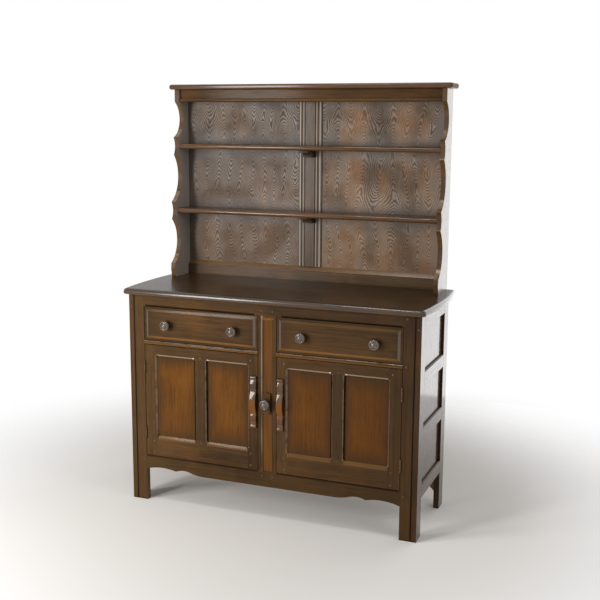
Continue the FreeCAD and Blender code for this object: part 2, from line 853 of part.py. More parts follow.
# Doors
door_inner = muntin_half + s.joint_gap
door_outer = opening_outer - s.joint_gap
door_groove = front + s.door_panel_recess
panel_low = door_low + s.door_bottom_rail_height
panel_high = door_high - s.door_top_rail_height


def door_columns():
    """Distances from the middle of the cabinet to the edges of a door's stiles and muntin."""
    centre = (door_inner + door_outer) / 2
    lock = door_inner + s.lock_stile_width
    hinge = door_outer - s.hinge_stile_width
    return lock, centre - s.door_muntin_width / 2, centre + s.door_muntin_width / 2, hinge


def door_groove_box(label, side, inner, outer, z_low, z_high):
    """A stretch of the panel groove, between two distances from the middle."""
    x_low, length = span(SIDES[side], inner, outer)
    return board(label, (x_low, door_groove, z_low), (length, s.panel_thickness, z_high - z_low))


def door_board(label, side, inner, outer, z_low, z_high):
    x_low, length = span(SIDES[side], inner, outer)
    return board(label, (x_low, front, z_low), (length, s.door_thickness, z_high - z_low))


def upright_chamfer(label, side, distance, outward):
    """A stopped chamfer on an upright edge beside a panel. Outward tells which side of the edge the wood is."""
    sign = SIDES[side]
    depth = s.edge_chamfer
    inner, outer = (distance, distance + depth) if outward else (distance - depth, distance)
    x_low, length = span(sign, inner, outer)
    slope = "left" if (sign > 0) == outward else "right"
    return stopped_chamfer(label, front, x_low, x_low + length, panel_low, panel_high, slope)


# Where pegs stand in a door: share of the stile's width from the door's edge, and shares of a rail's height
DOOR_PEG_SHARES = {"stile": 0.7, "low": 0.18, "high": 0.73, "top": 0.55}


def door_peg_places(side):
    """Pegs of a door, by the upright they are in: two at each lower corner, one at each upper corner."""
    sign = SIDES[side]
    inset = DOOR_PEG_SHARES["stile"]
    columns = {"lock": door_inner + s.lock_stile_width * inset,
               "hinge": door_outer - s.hinge_stile_width * inset}
    heights = [door_low + s.door_bottom_rail_height * DOOR_PEG_SHARES[level] for level in ("low", "high")]
    heights.append(door_high - s.door_top_rail_height * DOOR_PEG_SHARES["top"])
    places = {name: [(sign * x, front, z) for z in heights] for name, x in columns.items()}
    middle = sign * (door_inner + door_outer) / 2
    places["muntin"] = [(middle, front, z) for z in (panel_low - s.groove_depth, panel_high + s.groove_depth)]
    return places


def door_peg_holes(side, upright, piece):
    """Holes for the pegs of one upright, cut in the piece named."""
    return [hole(f"{side}_{piece}_{upright}_hole_{n}", where)
            for n, where in enumerate(door_peg_places(side)[upright])]


def door_stiles(side):
    """The two stiles: grooved for panels and rails, the outer one let in for the hinge leaves."""
    sign = SIDES[side]
    lock, _, _, hinge = door_columns()
    upright = (door_low, door_high)
    lock_stile = cut(f"{side}_lock_stile", door_board(f"{side}_lock_board", side, door_inner, lock, *upright),
                     door_groove_box(f"{side}_lock_groove", side, lock - s.groove_depth, lock, *upright),
                     upright_chamfer(f"{side}_lock_chamfer", side, lock, False),
                     *door_peg_holes(side, "lock", "stile"))
    recesses = hinge_recess(f"{side}_door_recess", sign, sign * door_outer, -1)
    hinge_stile = cut(f"{side}_hinge_stile", door_board(f"{side}_hinge_board", side, hinge, door_outer, *upright),
                      door_groove_box(f"{side}_hinge_groove", side, hinge, hinge + s.groove_depth, *upright),
                      upright_chamfer(f"{side}_hinge_chamfer", side, hinge, True),
                      *door_peg_holes(side, "hinge", "stile"), *recesses)
    return group(f"{side}_door_stiles", lock_stile, hinge_stile)


def door_rail(side, name, z_low, z_high, groove_low):
    """A tenoned and grooved rail: a stopped chamfer on the top one, a sloped sill on the other."""
    label = f"{side}_door_{name}_rail"
    lock, muntin_in, muntin_out, hinge = door_columns()
    body = door_board(f"{label}_board", side, lock, hinge, z_low, z_high)
    tongue = door_groove_box(f"{label}_tongue", side, lock - s.groove_depth, hinge + s.groove_depth, z_low, z_high)
    tools = [door_groove_box(f"{label}_groove", side, lock - s.groove_depth, hinge + s.groove_depth,
                             groove_low, groove_low + s.groove_depth)]
    low, high, slope = (z_low, z_low + s.edge_chamfer, "down")
    if name == "bottom":
        low, high, slope = (z_high - s.sill_slope, z_high, "up")
    for number, (inner, outer) in enumerate(((lock, muntin_in), (muntin_out, hinge))):
        x_low, length = span(SIDES[side], inner, outer)
        tools.append(stopped_chamfer(f"{label}_chamfer_{number}", front, x_low, x_low + length, low, high, slope))
    tools += door_peg_holes(side, "muntin", f"{name}_rail")
    return cut(label, fuse(f"{label}_tenoned", body, tongue), *tools)


def door_rails(side):
    return group(f"{side}_door_rails", door_rail(side, "bottom", door_low, panel_low, panel_low - s.groove_depth),
                 door_rail(side, "top", panel_high, door_high, panel_high))


def door_muntin(side):
    """The upright between a door's two panels, grooved on both edges, tongued into both rails."""
    label = f"{side}_door_muntin"
    _, inner, outer, _ = door_columns()
    upright = (panel_low, panel_high)
    body = door_board(f"{label}_board", side, inner, outer, *upright)
    tongue = door_groove_box(f"{label}_tongue", side, inner + s.groove_depth, outer - s.groove_depth,
                             panel_low - s.groove_depth, panel_high + s.groove_depth)
    return cut(label, fuse(f"{label}_tenoned", body, tongue),
               door_groove_box(f"{label}_inner_groove", side, inner, inner + s.groove_depth, *upright),
               door_groove_box(f"{label}_outer_groove", side, outer - s.groove_depth, outer, *upright),
               upright_chamfer(f"{label}_inner_chamfer", side, inner, True),
               upright_chamfer(f"{label}_outer_chamfer", side, outer, False),
               *door_peg_holes(side, "muntin", "muntin"))


def door_panels(side):
    """The two flat panels of a door, held in the grooves all round."""
    lock, muntin_in, muntin_out, hinge = door_columns()
    panels = [door_groove_box(f"{side}_door_panel_{n}", side, inner - s.groove_depth, outer + s.groove_depth,
                              panel_low - s.groove_depth, panel_high + s.groove_depth)
              for n, (inner, outer) in enumerate(((lock, muntin_in), (muntin_out, hinge)))]
    return group(f"{side}_door_panels", *panels)


def door_pegs(side):
    pegs = [peg(f"{side}_{upright}_peg_{n}", where) for upright, places in door_peg_places(side).items()
            for n, where in enumerate(places)]
    return group(f"{side}_door_pegs", *pegs)


HANDLE_SHARES = {"neck": 0.29, "end": 0.375, "valley": 0.4, "swell": 0.25}


def door_handle(side):
    """A carved bow handle: a nose and a swell over each foot, and a bow between that the fingers go behind."""
    half = s.handle_length / 2
    arch = half - s.handle_foot
    nose = s.handle_nose
    neck = s.handle_reach * HANDLE_SHARES["neck"]
    valley = s.handle_reach * HANDLE_SHARES["valley"]
    bow = s.handle_reach - valley
    swell = s.handle_reach * HANDLE_SHARES["swell"]
    nose_height = nose
    tip = nose * HANDLE_SHARES["end"]
    points = [(0, -half), (0, -arch, s.finger_gap), (0, arch), (0, half), (tip - nose, half), (-nose, half - tip),
              (-nose, half - nose_height), (-neck, half - nose_height - tip, -swell), (-valley, arch, -bow),
              (-valley, -arch, -swell), (-neck, nose_height + tip - half), (-nose, nose_height - half),
              (-nose, tip - half), (tip - nose, -half)]
    inner = door_inner + s.handle_edge
    x_low, width = span(SIDES[side], inner, inner + s.handle_width)
    return extrusion(f"{side}_door_handle", "YZ_Plane", points, width, (x_low, front, s.handle_height))


def knuckle_heights(z_low):
    """Three knuckles of a hinge, from below: start and length of each, with a working gap between them."""
    each = (s.hinge_length - 2 * s.working_clearance) / 3
    step = each + s.working_clearance
    return [(z_low + number * step, each) for number in range(3)]


def hinge_leaf(label, sign, z_low, way, knuckles):
    """A hinge leaf with its knuckles, bored for the pin. Way is 1 for the leaf on the frame."""
    face = hinge_x(sign) + sign * way * s.joint_gap / 2
    x_low = face if sign * way > 0 else face - s.leaf_thickness
    behind = hinge_y + s.knuckle_radius + s.working_clearance
    plate = board(f"{label}_plate", (x_low, behind, z_low),
                  (s.leaf_thickness, front + s.leaf_depth - behind, s.hinge_length))
    barrels = [rod(f"{label}_barrel_{n}", (hinge_x(sign), hinge_y, start), (0, 0, 1), s.knuckle_radius, length)
               for n, (start, length) in enumerate(knuckles)]
    arms = [board(f"{label}_arm_{n}", (x_low, hinge_y, start), (s.leaf_thickness, behind - hinge_y, length))
            for n, (start, length) in enumerate(knuckles)]
    bore = rod(f"{label}_bore", (hinge_x(sign), hinge_y, z_low - s.overrun), (0, 0, 1),
               s.pin_radius + s.running_fit, s.hinge_length + 2 * s.overrun)
    return cut(label, fuse(f"{label}_whole", plate, *barrels, *arms), bore)


def door_hinge_leaves(side):
    leaves = [hinge_leaf(f"{side}_door_leaf_{n}", SIDES[side], z_low, -1, knuckle_heights(z_low)[1:2])
              for n, z_low in enumerate(hinge_heights())]
    return group(f"{side}_door_hinge_leaves", *leaves)


def frame_hinge_leaves():
    leaves = [hinge_leaf(f"{side}_frame_leaf_{n}", sign, z_low, 1, knuckle_heights(z_low)[::2])
              for side, sign in SIDES.items() for n, z_low in enumerate(hinge_heights())]
    return group("frame_hinge_leaves", *leaves)


def hinge_pins():
    """The pins, with a flat head that rests on the top knuckle of each hinge."""
    pins = []
    for side, sign in SIDES.items():
        for number, z_low in enumerate(hinge_heights()):
            shaft = rod(f"{side}_pin_shaft_{number}", (hinge_x(sign), hinge_y, z_low), (0, 0, 1),
                        s.pin_radius, s.hinge_length)
            head = rod(f"{side}_pin_head_{number}", (hinge_x(sign), hinge_y, z_low + s.hinge_length), (0, 0, 1),
                       s.knuckle_radius * 2 / 3, s.working_clearance * 3)
            pins.append(fuse(f"{side}_hinge_pin_{number}", shaft, head))
    return group("hinge_pins", *pins)


for side in SIDES:
    for piece in (door_stiles, door_rails, door_muntin, door_panels, door_pegs, door_handle, door_hinge_leaves):
        keep(piece(side))
keep(frame_hinge_leaves())
keep(hinge_pins())


# Turned knobs
KNOB_SHARES = {"neck": 0.42, "waist": 0.36, "edge": 0.9, "rim": 0.72, "dish": 0.62, "boss": 0.5}
KNOB_LENGTH_SHARES = {"waist": 0.25, "back": 0.48, "rim": 0.8, "lip": 0.9, "dish": 0.8, "boss": 0.86}


def knob(label, low, spigot_length):
    """A turned knob on a spigot: a waist, a round rim, a dished face and a button in the middle."""
    radius = s.knob_radius
    length = s.knob_length

    def ring(name, along):
        return radius * KNOB_SHARES[name], -length * KNOB_LENGTH_SHARES[along]

    points = [(0, spigot_length), (0, -length, -length * (1 - KNOB_LENGTH_SHARES["boss"]) / 4),
              ring("boss", "boss"), ring("dish", "dish"), ring("rim", "lip"),
              (*ring("edge", "rim"), -radius * (1 - KNOB_SHARES["edge"])), ring("edge", "back"),
              (*ring("waist", "waist"), length / 40), (radius * KNOB_SHARES["neck"], 0),
              (s.spigot_radius, 0), (s.spigot_radius, spigot_length)]
    return turning(label, points, low)


# Drawers
drawer_gap = s.joint_gap * 3 / 4
drawer_inner = muntin_half + s.joint_gap
drawer_outer = opening_outer - s.joint_gap
drawer_low = rail_high + s.slide_clearance
front_low = rail_high + drawer_gap
front_high = opening_high - drawer_gap
drawer_face = front + s.joint_gap / 2
drawer_front_back = drawer_face + s.drawer_front_thickness
drawer_bottom_low = drawer_low + s.drawer_bottom_inset
field_face = drawer_face - s.drawer_field_proud


def knob_places(side):
    centre = (drawer_inner + drawer_outer) / 2
    z = (front_low + front_high) / 2
    return [(SIDES[side] * (centre + way * s.knob_spacing / 2), field_face, z) for way in (-1, 1)]


def bottom_slot(label, side):
    """The space of a drawer's bottom, which front and sides are grooved for."""
    groove = s.drawer_groove_depth
    inner = drawer_inner + s.drawer_side_thickness - groove
    outer = drawer_outer - s.drawer_side_thickness + groove
    x_low, width = span(SIDES[side], inner, outer)
    return board(label, (x_low, drawer_front_back - groove, drawer_bottom_low),
                 (width, s.drawer_length + groove, s.drawer_bottom_thickness))


def drawer_front(side):
    """The front: a flat border and a raised field with sloped edges, grooved behind for the bottom."""
    x_low, width = span(SIDES[side], drawer_inner, drawer_outer)
    height = front_high - front_low
    plate = board(f"{side}_front_plate", (x_low, drawer_face, front_low),
                  (width, s.drawer_front_thickness, height))
    border = s.drawer_border
    inset = border + s.drawer_field_slope
    x_high = x_low + width
    field = frustum(f"{side}_front_field",
                    (field_face, x_low + inset, x_high - inset, front_low + inset, front_high - inset),
                    (drawer_face, x_low + border, x_high - border, front_low + border, front_high - border))
    holes = [rod(f"{side}_knob_hole_{n}", where, (0, 1, 0), s.spigot_radius + s.fit_clearance, s.spigot_length)
             for n, where in enumerate(knob_places(side))]
    return cut(f"{side}_drawer_front", fuse(f"{side}_front_whole", plate, field),
               bottom_slot(f"{side}_front_slot", side), *holes)


def drawer_sides(side):
    """The two sides, grooved for the bottom, standing on the runners."""
    boards = []
    columns = ((drawer_inner, drawer_inner + s.drawer_side_thickness),
               (drawer_outer - s.drawer_side_thickness, drawer_outer))
    for number, (inner, outer) in enumerate(columns):
        x_low, width = span(SIDES[side], inner, outer)
        plain = board(f"{side}_drawer_side_board_{number}", (x_low, drawer_front_back, drawer_low),
                      (width, s.drawer_length, s.drawer_side_height))
        boards.append(cut(f"{side}_drawer_side_{number}", plain, bottom_slot(f"{side}_side_slot_{number}", side)))
    return group(f"{side}_drawer_sides", *boards)


def drawer_back(side):
    """The back, which stands on the drawer's bottom between the sides."""
    x_low, width = span(SIDES[side], drawer_inner + s.drawer_side_thickness,
                        drawer_outer - s.drawer_side_thickness)
    z_low = drawer_bottom_low + s.drawer_bottom_thickness
    y_low = drawer_front_back + s.drawer_length - s.drawer_side_thickness
    return board(f"{side}_drawer_back", (x_low, y_low, z_low),
                 (width, s.drawer_side_thickness, drawer_low + s.drawer_side_height - z_low))


def drawer_knobs(side):
    knobs = [knob(f"{side}_knob_{n}", where, s.spigot_length) for n, where in enumerate(knob_places(side))]
    return group(f"{side}_drawer_knobs", *knobs)


for side in SIDES:
    keep(drawer_front(side))
    keep(drawer_sides(side))
    keep(drawer_back(side))
    keep(bottom_slot(f"{side}_drawer_bottom", side))
    keep(drawer_knobs(side))


# Turn button

def turn_button_bar():
    """The wooden bar that turns across the doors, with rounded ends. It stands upright, clear of both doors."""
    half = s.button_length / 2
    wide = s.button_width / 2
    straight = half - wide / 2
    points = [(-wide, -straight, -wide / 2), (wide, -straight), (wide, straight, -wide / 2), (-wide, straight)]
    y_low = front - s.button_clearance - s.button_thickness
    bar = extrusion("turn_button_outline", "XZ_Plane", points, s.button_thickness, (0, y_low, s.handle_height),
                    reverse=True)
    bore = rod("turn_button_bore", (0, y_low - s.overrun, s.handle_height), (0, 1, 0),
               s.spigot_radius + s.fit_clearance, s.button_thickness + 2 * s.overrun)
    return cut("turn_button_bar", bar, bore)


def turn_button_knob():
    """The knob of the turn button. Its spindle goes through the bar and the muntin."""
    y = front - s.button_clearance - s.button_thickness
    spigot = s.button_thickness + s.button_clearance + s.frame_thickness
    return knob("turn_button_knob", (0, y, s.handle_height), spigot)


keep(turn_button_bar())
keep(turn_button_knob())


# Rack
rack_half = half_width - s.rack_end_inset
rack_inner = rack_half - s.rack_side_thickness
rack_under = top_surface + s.rack_side_height
rack_panel_front = top_rear - s.rack_panel_inset - s.rack_panel_thickness
rack_panel_low = top_surface + s.rack_rail_height - s.rack_groove


def shelf_middle(height):
    return height + s.shelf_thickness / 2


def side_outline():
    """A rack side seen from its end: a front edge of scallops that meet in cusps at the shelves."""
    half = s.saddle_height / 2
    lower = shelf_middle(s.lower_shelf_height)
    upper = shelf_middle(s.upper_shelf_height)
    block = s.rack_side_height - s.frieze_height
    nose = s.foot_nose
    return [(0, 0), (-s.foot_depth + nose, 0), (-s.foot_depth, s.foot_height / 2, nose / 4),
            (-s.foot_depth + nose / 2, s.foot_height, -s.scallop_depth),
            (-s.lower_side_depth, lower - half, -s.saddle_depth),
            (-s.lower_side_depth, lower + half, -s.scallop_depth),
            (-s.upper_side_depth, upper - half, -s.saddle_depth),
            (-s.upper_side_depth, upper + half, -s.scallop_depth),
            (-s.block_depth, block), (-s.block_depth, s.rack_side_height), (0, s.rack_side_height)]


def rack_plug_places(sign):
    """Plugs over the screws in a rack side: two at each shelf, one at the frieze, one at the bottom rail."""
    x = sign * rack_half
    frieze_y = top_rear - s.block_depth + s.frieze_setback + s.frieze_thickness / 2
    places = [(x, frieze_y, rack_under - s.frieze_height / 2),
              (x, top_rear - s.rack_rail_thickness / 2, top_surface + s.rack_rail_height / 2)]
    for height, depth in ((s.lower_shelf_height, s.lower_side_depth), (s.upper_shelf_height, s.upper_side_depth)):
        z = top_surface + shelf_middle(height)
        places += [(x, top_rear - depth * 3 / 4, z), (x, top_rear - depth / 3, z)]
    return places


def rack_side(side):
    """A scalloped side, grooved for the back panel and counterbored for the plugs."""
    sign = SIDES[side]
    x_low, _ = span(sign, rack_inner, rack_half)
    outline_board = extrusion(f"rack_{side}_outline", "YZ_Plane", side_outline(), s.rack_side_thickness,
                              (x_low, top_rear, top_surface))
    groove_x, width = span(sign, rack_inner, rack_inner + s.rack_groove)
    groove = board(f"rack_{side}_groove", (groove_x, rack_panel_front, rack_panel_low),
                   (width, s.rack_panel_thickness, rack_under - rack_panel_low))
    sockets = [rod(f"rack_{side}_socket_{n}", where, (-sign, 0, 0), s.plug_radius + s.fit_clearance, s.plug_depth)
               for n, where in enumerate(rack_plug_places(sign))]
    return cut(f"rack_{side}_side", outline_board, groove, *sockets)


def rack_side_plugs():
    plugs = [rod(f"{side}_plug_{n}", where, (-sign, 0, 0), s.plug_radius, s.plug_depth)
             for side, sign in SIDES.items() for n, where in enumerate(rack_plug_places(sign))]
    return group("rack_side_plugs", *plugs)


def rack_top():
    half = rack_half + s.rack_top_end_overhang
    depth = s.block_depth + s.rack_top_front_overhang
    points = [(-half, 0), (half, 0), (half, depth), (-half, depth)]
    return soft_board("rack_top", points, depth, s.rack_top_thickness, (0, top_rear - depth, rack_under),
                      s.rack_top_corner, s.rack_top_nose, s.rack_top_nose)


def rack_frieze():
    """The frieze rail: a plain band, a step, and a round bead along its lower edge."""
    step = s.frieze_step
    bead = s.frieze_bead
    thick = s.frieze_thickness
    high = s.frieze_height
    points = [(0, 0), (thick, 0), (thick, high), (step / 2, high), (step / 2, high / 2 + step), (step, high / 2),
              (step, bead), (0, bead, -bead / 3)]
    y_low = top_rear - s.block_depth + s.frieze_setback
    return extrusion("rack_frieze", "YZ_Plane", points, 2 * rack_inner, (-rack_inner, y_low, rack_under - high))


def rack_shelf(label, height, side_depth):
    """A shelf with a round front edge, notched round the back muntin."""
    shelf_front = top_rear - side_depth + s.saddle_depth
    depth = rack_panel_front - shelf_front
    nose = s.shelf_thickness / 3
    points = [(nose, 0), (depth, 0), (depth, s.shelf_thickness), (nose, s.shelf_thickness, -nose)]
    shelf = extrusion(f"{label}_board", "YZ_Plane", points, 2 * rack_inner,
                      (-rack_inner, shelf_front, top_surface + height))
    half = s.rack_muntin_width / 2
    notch = board(f"{label}_notch", (-half, top_rear - s.rack_muntin_thickness, top_surface + height - s.overrun),
                  (2 * half, s.rack_muntin_thickness, s.shelf_thickness + 2 * s.overrun))
    return cut(label, shelf, notch)


def rack_muntin():
    """The wide upright between the back panels: two beads along each front edge, grooved edges for the panels."""
    half = s.rack_muntin_width / 2
    thick = s.rack_muntin_thickness
    beads = s.rack_muntin_beads
    rise = s.rack_bead_rise
    groove = s.rack_groove
    near = thick - s.rack_panel_inset - s.rack_panel_thickness
    far = thick - s.rack_panel_inset
    flat = half - beads
    between = half - beads / 2
    points = [(-flat, 0), (flat, 0), (flat, rise, -rise), (between, rise, -rise), (half, 2 * rise),
              (half, near), (half - groove, near), (half - groove, far), (half, far), (half, thick),
              (-half, thick), (-half, far), (groove - half, far), (groove - half, near), (-half, near),
              (-half, 2 * rise, -rise),
              (-between, rise, -rise), (-flat, rise)]
    low = top_surface + s.rack_rail_height
    return extrusion("rack_muntin", "XY_Plane", points, rack_under - low, (0, top_rear - thick, low))


def rack_back_panels():
    """The two veneered back panels, in the grooves of sides, muntin and bottom rail."""
    panels = []
    for side, sign in SIDES.items():
        x_low, width = span(sign, s.rack_muntin_width / 2 - s.rack_groove, rack_inner + s.rack_groove)
        panels.append(board(f"rack_{side}_panel", (x_low, rack_panel_front, rack_panel_low),
                            (width, s.rack_panel_thickness, rack_under - rack_panel_low)))
    return group("rack_back_panels", *panels)


def rack_bottom_rail():
    """The rail along the foot of the back: a face, a small step and a slope up to the panels."""
    thick = s.rack_rail_thickness
    high = s.rack_rail_height
    step = s.frieze_step
    near = thick - s.rack_panel_inset - s.rack_panel_thickness
    far = thick - s.rack_panel_inset
    groove = high - s.rack_groove
    points = [(0, 0), (thick, 0), (thick, high), (far, high), (far, groove), (near, groove), (near, high),
              (step, s.rack_rail_face + step), (step, s.rack_rail_face), (0, s.rack_rail_face)]
    rail = extrusion("rack_rail_section", "YZ_Plane", points, 2 * rack_inner,
                     (-rack_inner, top_rear - thick, top_surface))
    holes = [screw_hole(f"rack_rail_{side}_hole", screw_places()[side, "high"]) for side in SIDES]
    return cut("rack_bottom_rail", rail, *holes)


def shelf_brackets():
    """The two brackets under the shelves, coved from a thick heel at the muntin to a thin tip."""
    tip = s.bracket_tip
    length = s.bracket_length
    height = s.bracket_height
    heel = length / 3
    points = [(0, 0), (0, -height), (-heel, -height, -height / 6), (-length / 2, -tip), (-length, -tip),
              (-length, 0)]
    brackets = []
    for name, shelf_height in (("lower", s.lower_shelf_height), ("upper", s.upper_shelf_height)):
        brackets.append(extrusion(f"{name}_bracket", "YZ_Plane", points, s.bracket_width,
                                  (-s.bracket_width / 2, top_rear - s.rack_muntin_thickness,
                                   top_surface + shelf_height)))
    return group("shelf_brackets", *brackets)


def screw_places():
    """Screws of the fixing plates: the lower two in the base top, the upper two in the bottom rail."""
    y = top_rear + s.plate_thickness
    return {(side, level): (sign * rack_inner / 2, y, top_surface + way * s.plate_height / 4)
            for side, sign in SIDES.items() for level, way in (("low", -1), ("high", 1))}


def screw_hole(label, where):
    """A hole for a screw, through a plate and into the wood before it."""
    return rod(label, where, (0, -1, 0), s.screw_radius + s.fit_clearance, s.screw_length)


def rack_fixing_plates():
    """Two steel plates that tie the rack's bottom rail to the back edge of the base top."""
    plates = []
    for side, sign in SIDES.items():
        z_low = top_surface - s.plate_height / 2
        plate = board(f"{side}_plate_blank", (sign * rack_inner / 2 - s.plate_width / 2, top_rear, z_low),
                      (s.plate_width, s.plate_thickness, s.plate_height))
        holes = [screw_hole(f"{side}_plate_{level}_hole", screw_places()[side, level])
                 for level in ("low", "high")]
        plates.append(cut(f"{side}_fixing_plate", plate, *holes))
    return group("rack_fixing_plates", *plates)


def rack_fixing_screws():
    screws = []
    for (side, level), where in screw_places().items():
        label = f"{side}_{level}_screw"
        shank = rod(f"{label}_shank", where, (0, -1, 0), s.screw_radius, s.screw_length)
        head = rod(f"{label}_head", where, (0, 1, 0), s.screw_head_radius, s.screw_head)
        screws.append(fuse(label, shank, head))
    return group("rack_fixing_screws", *screws)


for side in SIDES:
    keep(rack_side(side))
keep(base_top())
keep(rack_top())
keep(rack_frieze())
keep(rack_shelf("lower_shelf", s.lower_shelf_height, s.lower_side_depth))
keep(rack_shelf("upper_shelf", s.upper_shelf_height, s.upper_side_depth))
keep(rack_muntin())
keep(rack_back_panels())
keep(rack_bottom_rail())
keep(shelf_brackets())
keep(rack_side_plugs())
keep(rack_fixing_plates())
keep(rack_fixing_screws())


# Check every object, then write the pieces
doc.recompute()
failed = [thing.Label for thing in doc.Objects if {"Invalid", "Error"} & set(thing.State)]
failed += [thing.Label for thing in NODES if thing.Shape.isNull() or not thing.Shape.isValid()]
if failed:
    raise RuntimeError(f"these did not build: {failed}")
os.makedirs("parts", exist_ok=True)
for thing in NODES:
    thing.Shape.exportStep(f"parts/{thing.Label}.step")
print(len(NODES), "pieces,", sum(len(thing.Shape.Solids) for thing in NODES), "solids")
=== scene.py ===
# %% [markdown]
# # An open-rack dresser
# This lesson dresses a finished CAD model of a stained wooden dresser: a sideboard base with two
# drawers over two panelled doors, and a plate rack on top. The solids already have their true
# shapes. They could be modelled again here, but then the two models would drift apart, so the work
# is only the camera, the light, the finishes and the soft edges that old polished wood has.

# %% Load the frame
import math
from collections import namedtuple

import bpy
from mathutils import Matrix, Vector


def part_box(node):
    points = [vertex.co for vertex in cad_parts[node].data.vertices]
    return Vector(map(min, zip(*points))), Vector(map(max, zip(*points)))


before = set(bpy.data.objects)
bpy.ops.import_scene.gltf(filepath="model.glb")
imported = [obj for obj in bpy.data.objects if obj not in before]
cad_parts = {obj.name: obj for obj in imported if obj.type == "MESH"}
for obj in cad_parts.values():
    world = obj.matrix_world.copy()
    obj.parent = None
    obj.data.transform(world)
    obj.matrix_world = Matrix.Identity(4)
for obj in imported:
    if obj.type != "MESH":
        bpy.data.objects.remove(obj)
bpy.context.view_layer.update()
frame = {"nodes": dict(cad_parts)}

nodes = frame["nodes"]

# %% [markdown]
# ## Camera
# The photograph was taken from the right of the middle and from above the worktop. A camera could
# be aimed at a point by eye, but then edges miss by some pixels. This place was found by fitting
# corners of the dresser, so it is written as a position, a turn, a tilt and a small roll. The focal
# length in pixels belongs to a square frame of 600 pixels, which gives the lens for the sensor.

# %% Camera
FRONT_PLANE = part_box("left_front_stile")[0].y
CAMERA_PLACE = Vector((1.3955, FRONT_PLANE - 3.2386, 1.4844))
TURN, TILT, ROLL = math.radians(21.365), math.radians(10.303), math.radians(0.362)
FOCAL_PIXELS, FRAME_PIXELS, SENSOR = 983.9, 600, 36


def camera_axes(turn, tilt, roll):
    """Right, up and backward directions of a camera turned to the left, tilted down and rolled."""
    ahead = Vector((-math.sin(turn) * math.cos(tilt),
                    math.cos(turn) * math.cos(tilt),
                    -math.sin(tilt)))
    level = Vector((math.cos(turn), math.sin(turn), 0))
    rise = level.cross(ahead)
    right = level * math.cos(roll) + rise * math.sin(roll)
    up = rise * math.cos(roll) - level * math.sin(roll)
    return right, up, -ahead


camera = bpy.data.objects.new("camera", bpy.data.cameras.new("camera"))
bpy.context.scene.collection.objects.link(camera)
axes = [(*axis, 0) for axis in camera_axes(TURN, TILT, ROLL)]
camera.matrix_world = (Matrix.Translation(CAMERA_PLACE)
                       @ Matrix([*axes, (0, 0, 0, 1)]).transposed())
camera.data.sensor_width = SENSOR
camera.data.sensor_fit = "HORIZONTAL"
camera.data.lens = SENSOR * FOCAL_PIXELS / FRAME_PIXELS
bpy.context.scene.camera = camera
bpy.context.scene.view_settings.view_transform = "Standard"
print("lens", round(camera.data.lens, 1), "mm")

# %% [markdown]
# ## Shader arithmetic
# A finish is built from many small sums. They could be wired one node at a time, but then the
# thought is lost among the wires. Wrapping a socket in a class lets the sums be written as Python
# expressions: each operator adds one Math node, and the methods below them name the few curves
# that every finish uses.


# %% Sockets that can be added and multiplied
class Signal:
    """A value that changes over a surface."""

    def __init__(self, recipe, socket):
        self.recipe = recipe
        self.socket = socket

    def math(self, operation, *values):
        return self.recipe.node("ShaderNodeMath", {"operation": operation},
                                dict(enumerate(values)))

    def __add__(self, other):
        return self.math("ADD", self, other)

    def __sub__(self, other):
        return self.math("SUBTRACT", self, other)

    def __rsub__(self, other):
        return self.math("SUBTRACT", other, self)

    def __mul__(self, other):
        return self.math("MULTIPLY", self, other)

    def __truediv__(self, other):
        return self.math("DIVIDE", self, other)

    def __rtruediv__(self, other):
        return self.math("DIVIDE", other, self)

    def __neg__(self):
        return self * -1

    def __abs__(self):
        return self.math("ABSOLUTE", self)

    __radd__ = __add__
    __rmul__ = __mul__

    def sine(self):
        return self.math("SINE", self)

    def least(self, other):
        return self.math("MINIMUM", self, other)

    def most(self, other):
        return self.math("MAXIMUM", self, other)

    def span(self, low, high):
        """Runs evenly from low where the signal is 0 to high where it is 1."""
        return self * (high - low) + low

    def between(self, low, high):
        """Runs smoothly from 0 at low to 1 at high."""
        return self.recipe.node("ShaderNodeMapRange", {"interpolation_type": "SMOOTHSTEP"},
                                {0: self, 1: low, 2: high, 3: 0, 4: 1})

    def band(self, low, high, soft=0.08):
        """1 between two values and 0 outside them."""
        return self.between(low, low + soft) * (1 - self.between(high - soft, high))

    def near(self, centre, full, gone):
        """1 within a small distance of a value, and 0 beyond a larger one."""
        return 1 - abs(self - centre).between(full, gone)


print("signals can be added, multiplied and cut to a band")

# %% [markdown]
# ## Recipes for finishes
# Every node that isn't arithmetic comes from one method, which sets the node's own settings first
# and then fills its sockets with numbers or links. A finish adds the few patterns that old wood
# needs: noise, the way a face looks, colours laid over each other, and the hollows where grime
# sits. They work from the place on the object, so no surface has to be unwrapped.


# %% Trees of nodes
class Recipe:
    """A tree of nodes that ends in one shader."""

    def __init__(self, tree, shader, **constants):
        self.tree = tree
        self.shader = tree.nodes[shader]
        for socket, value in constants.items():
            self.shader.inputs[socket.replace("_", " ")].default_value = value

    def node(self, kind, settings, inputs, output=0):
        made = self.tree.nodes.new(kind)
        for name, value in settings.items():
            setattr(made, name, value)
        for name, value in inputs.items():
            if isinstance(value, Signal):
                self.tree.links.new(value.socket, made.inputs[name])
            else:
                made.inputs[name].default_value = value
        return Signal(self, made.outputs[output])

    def feed(self, **signals):
        """Links signals to the named sockets of the shader."""
        for socket, signal in signals.items():
            self.tree.links.new(signal.socket, self.shader.inputs[socket.replace("_", " ")])
        return self


print("recipes can hold nodes")


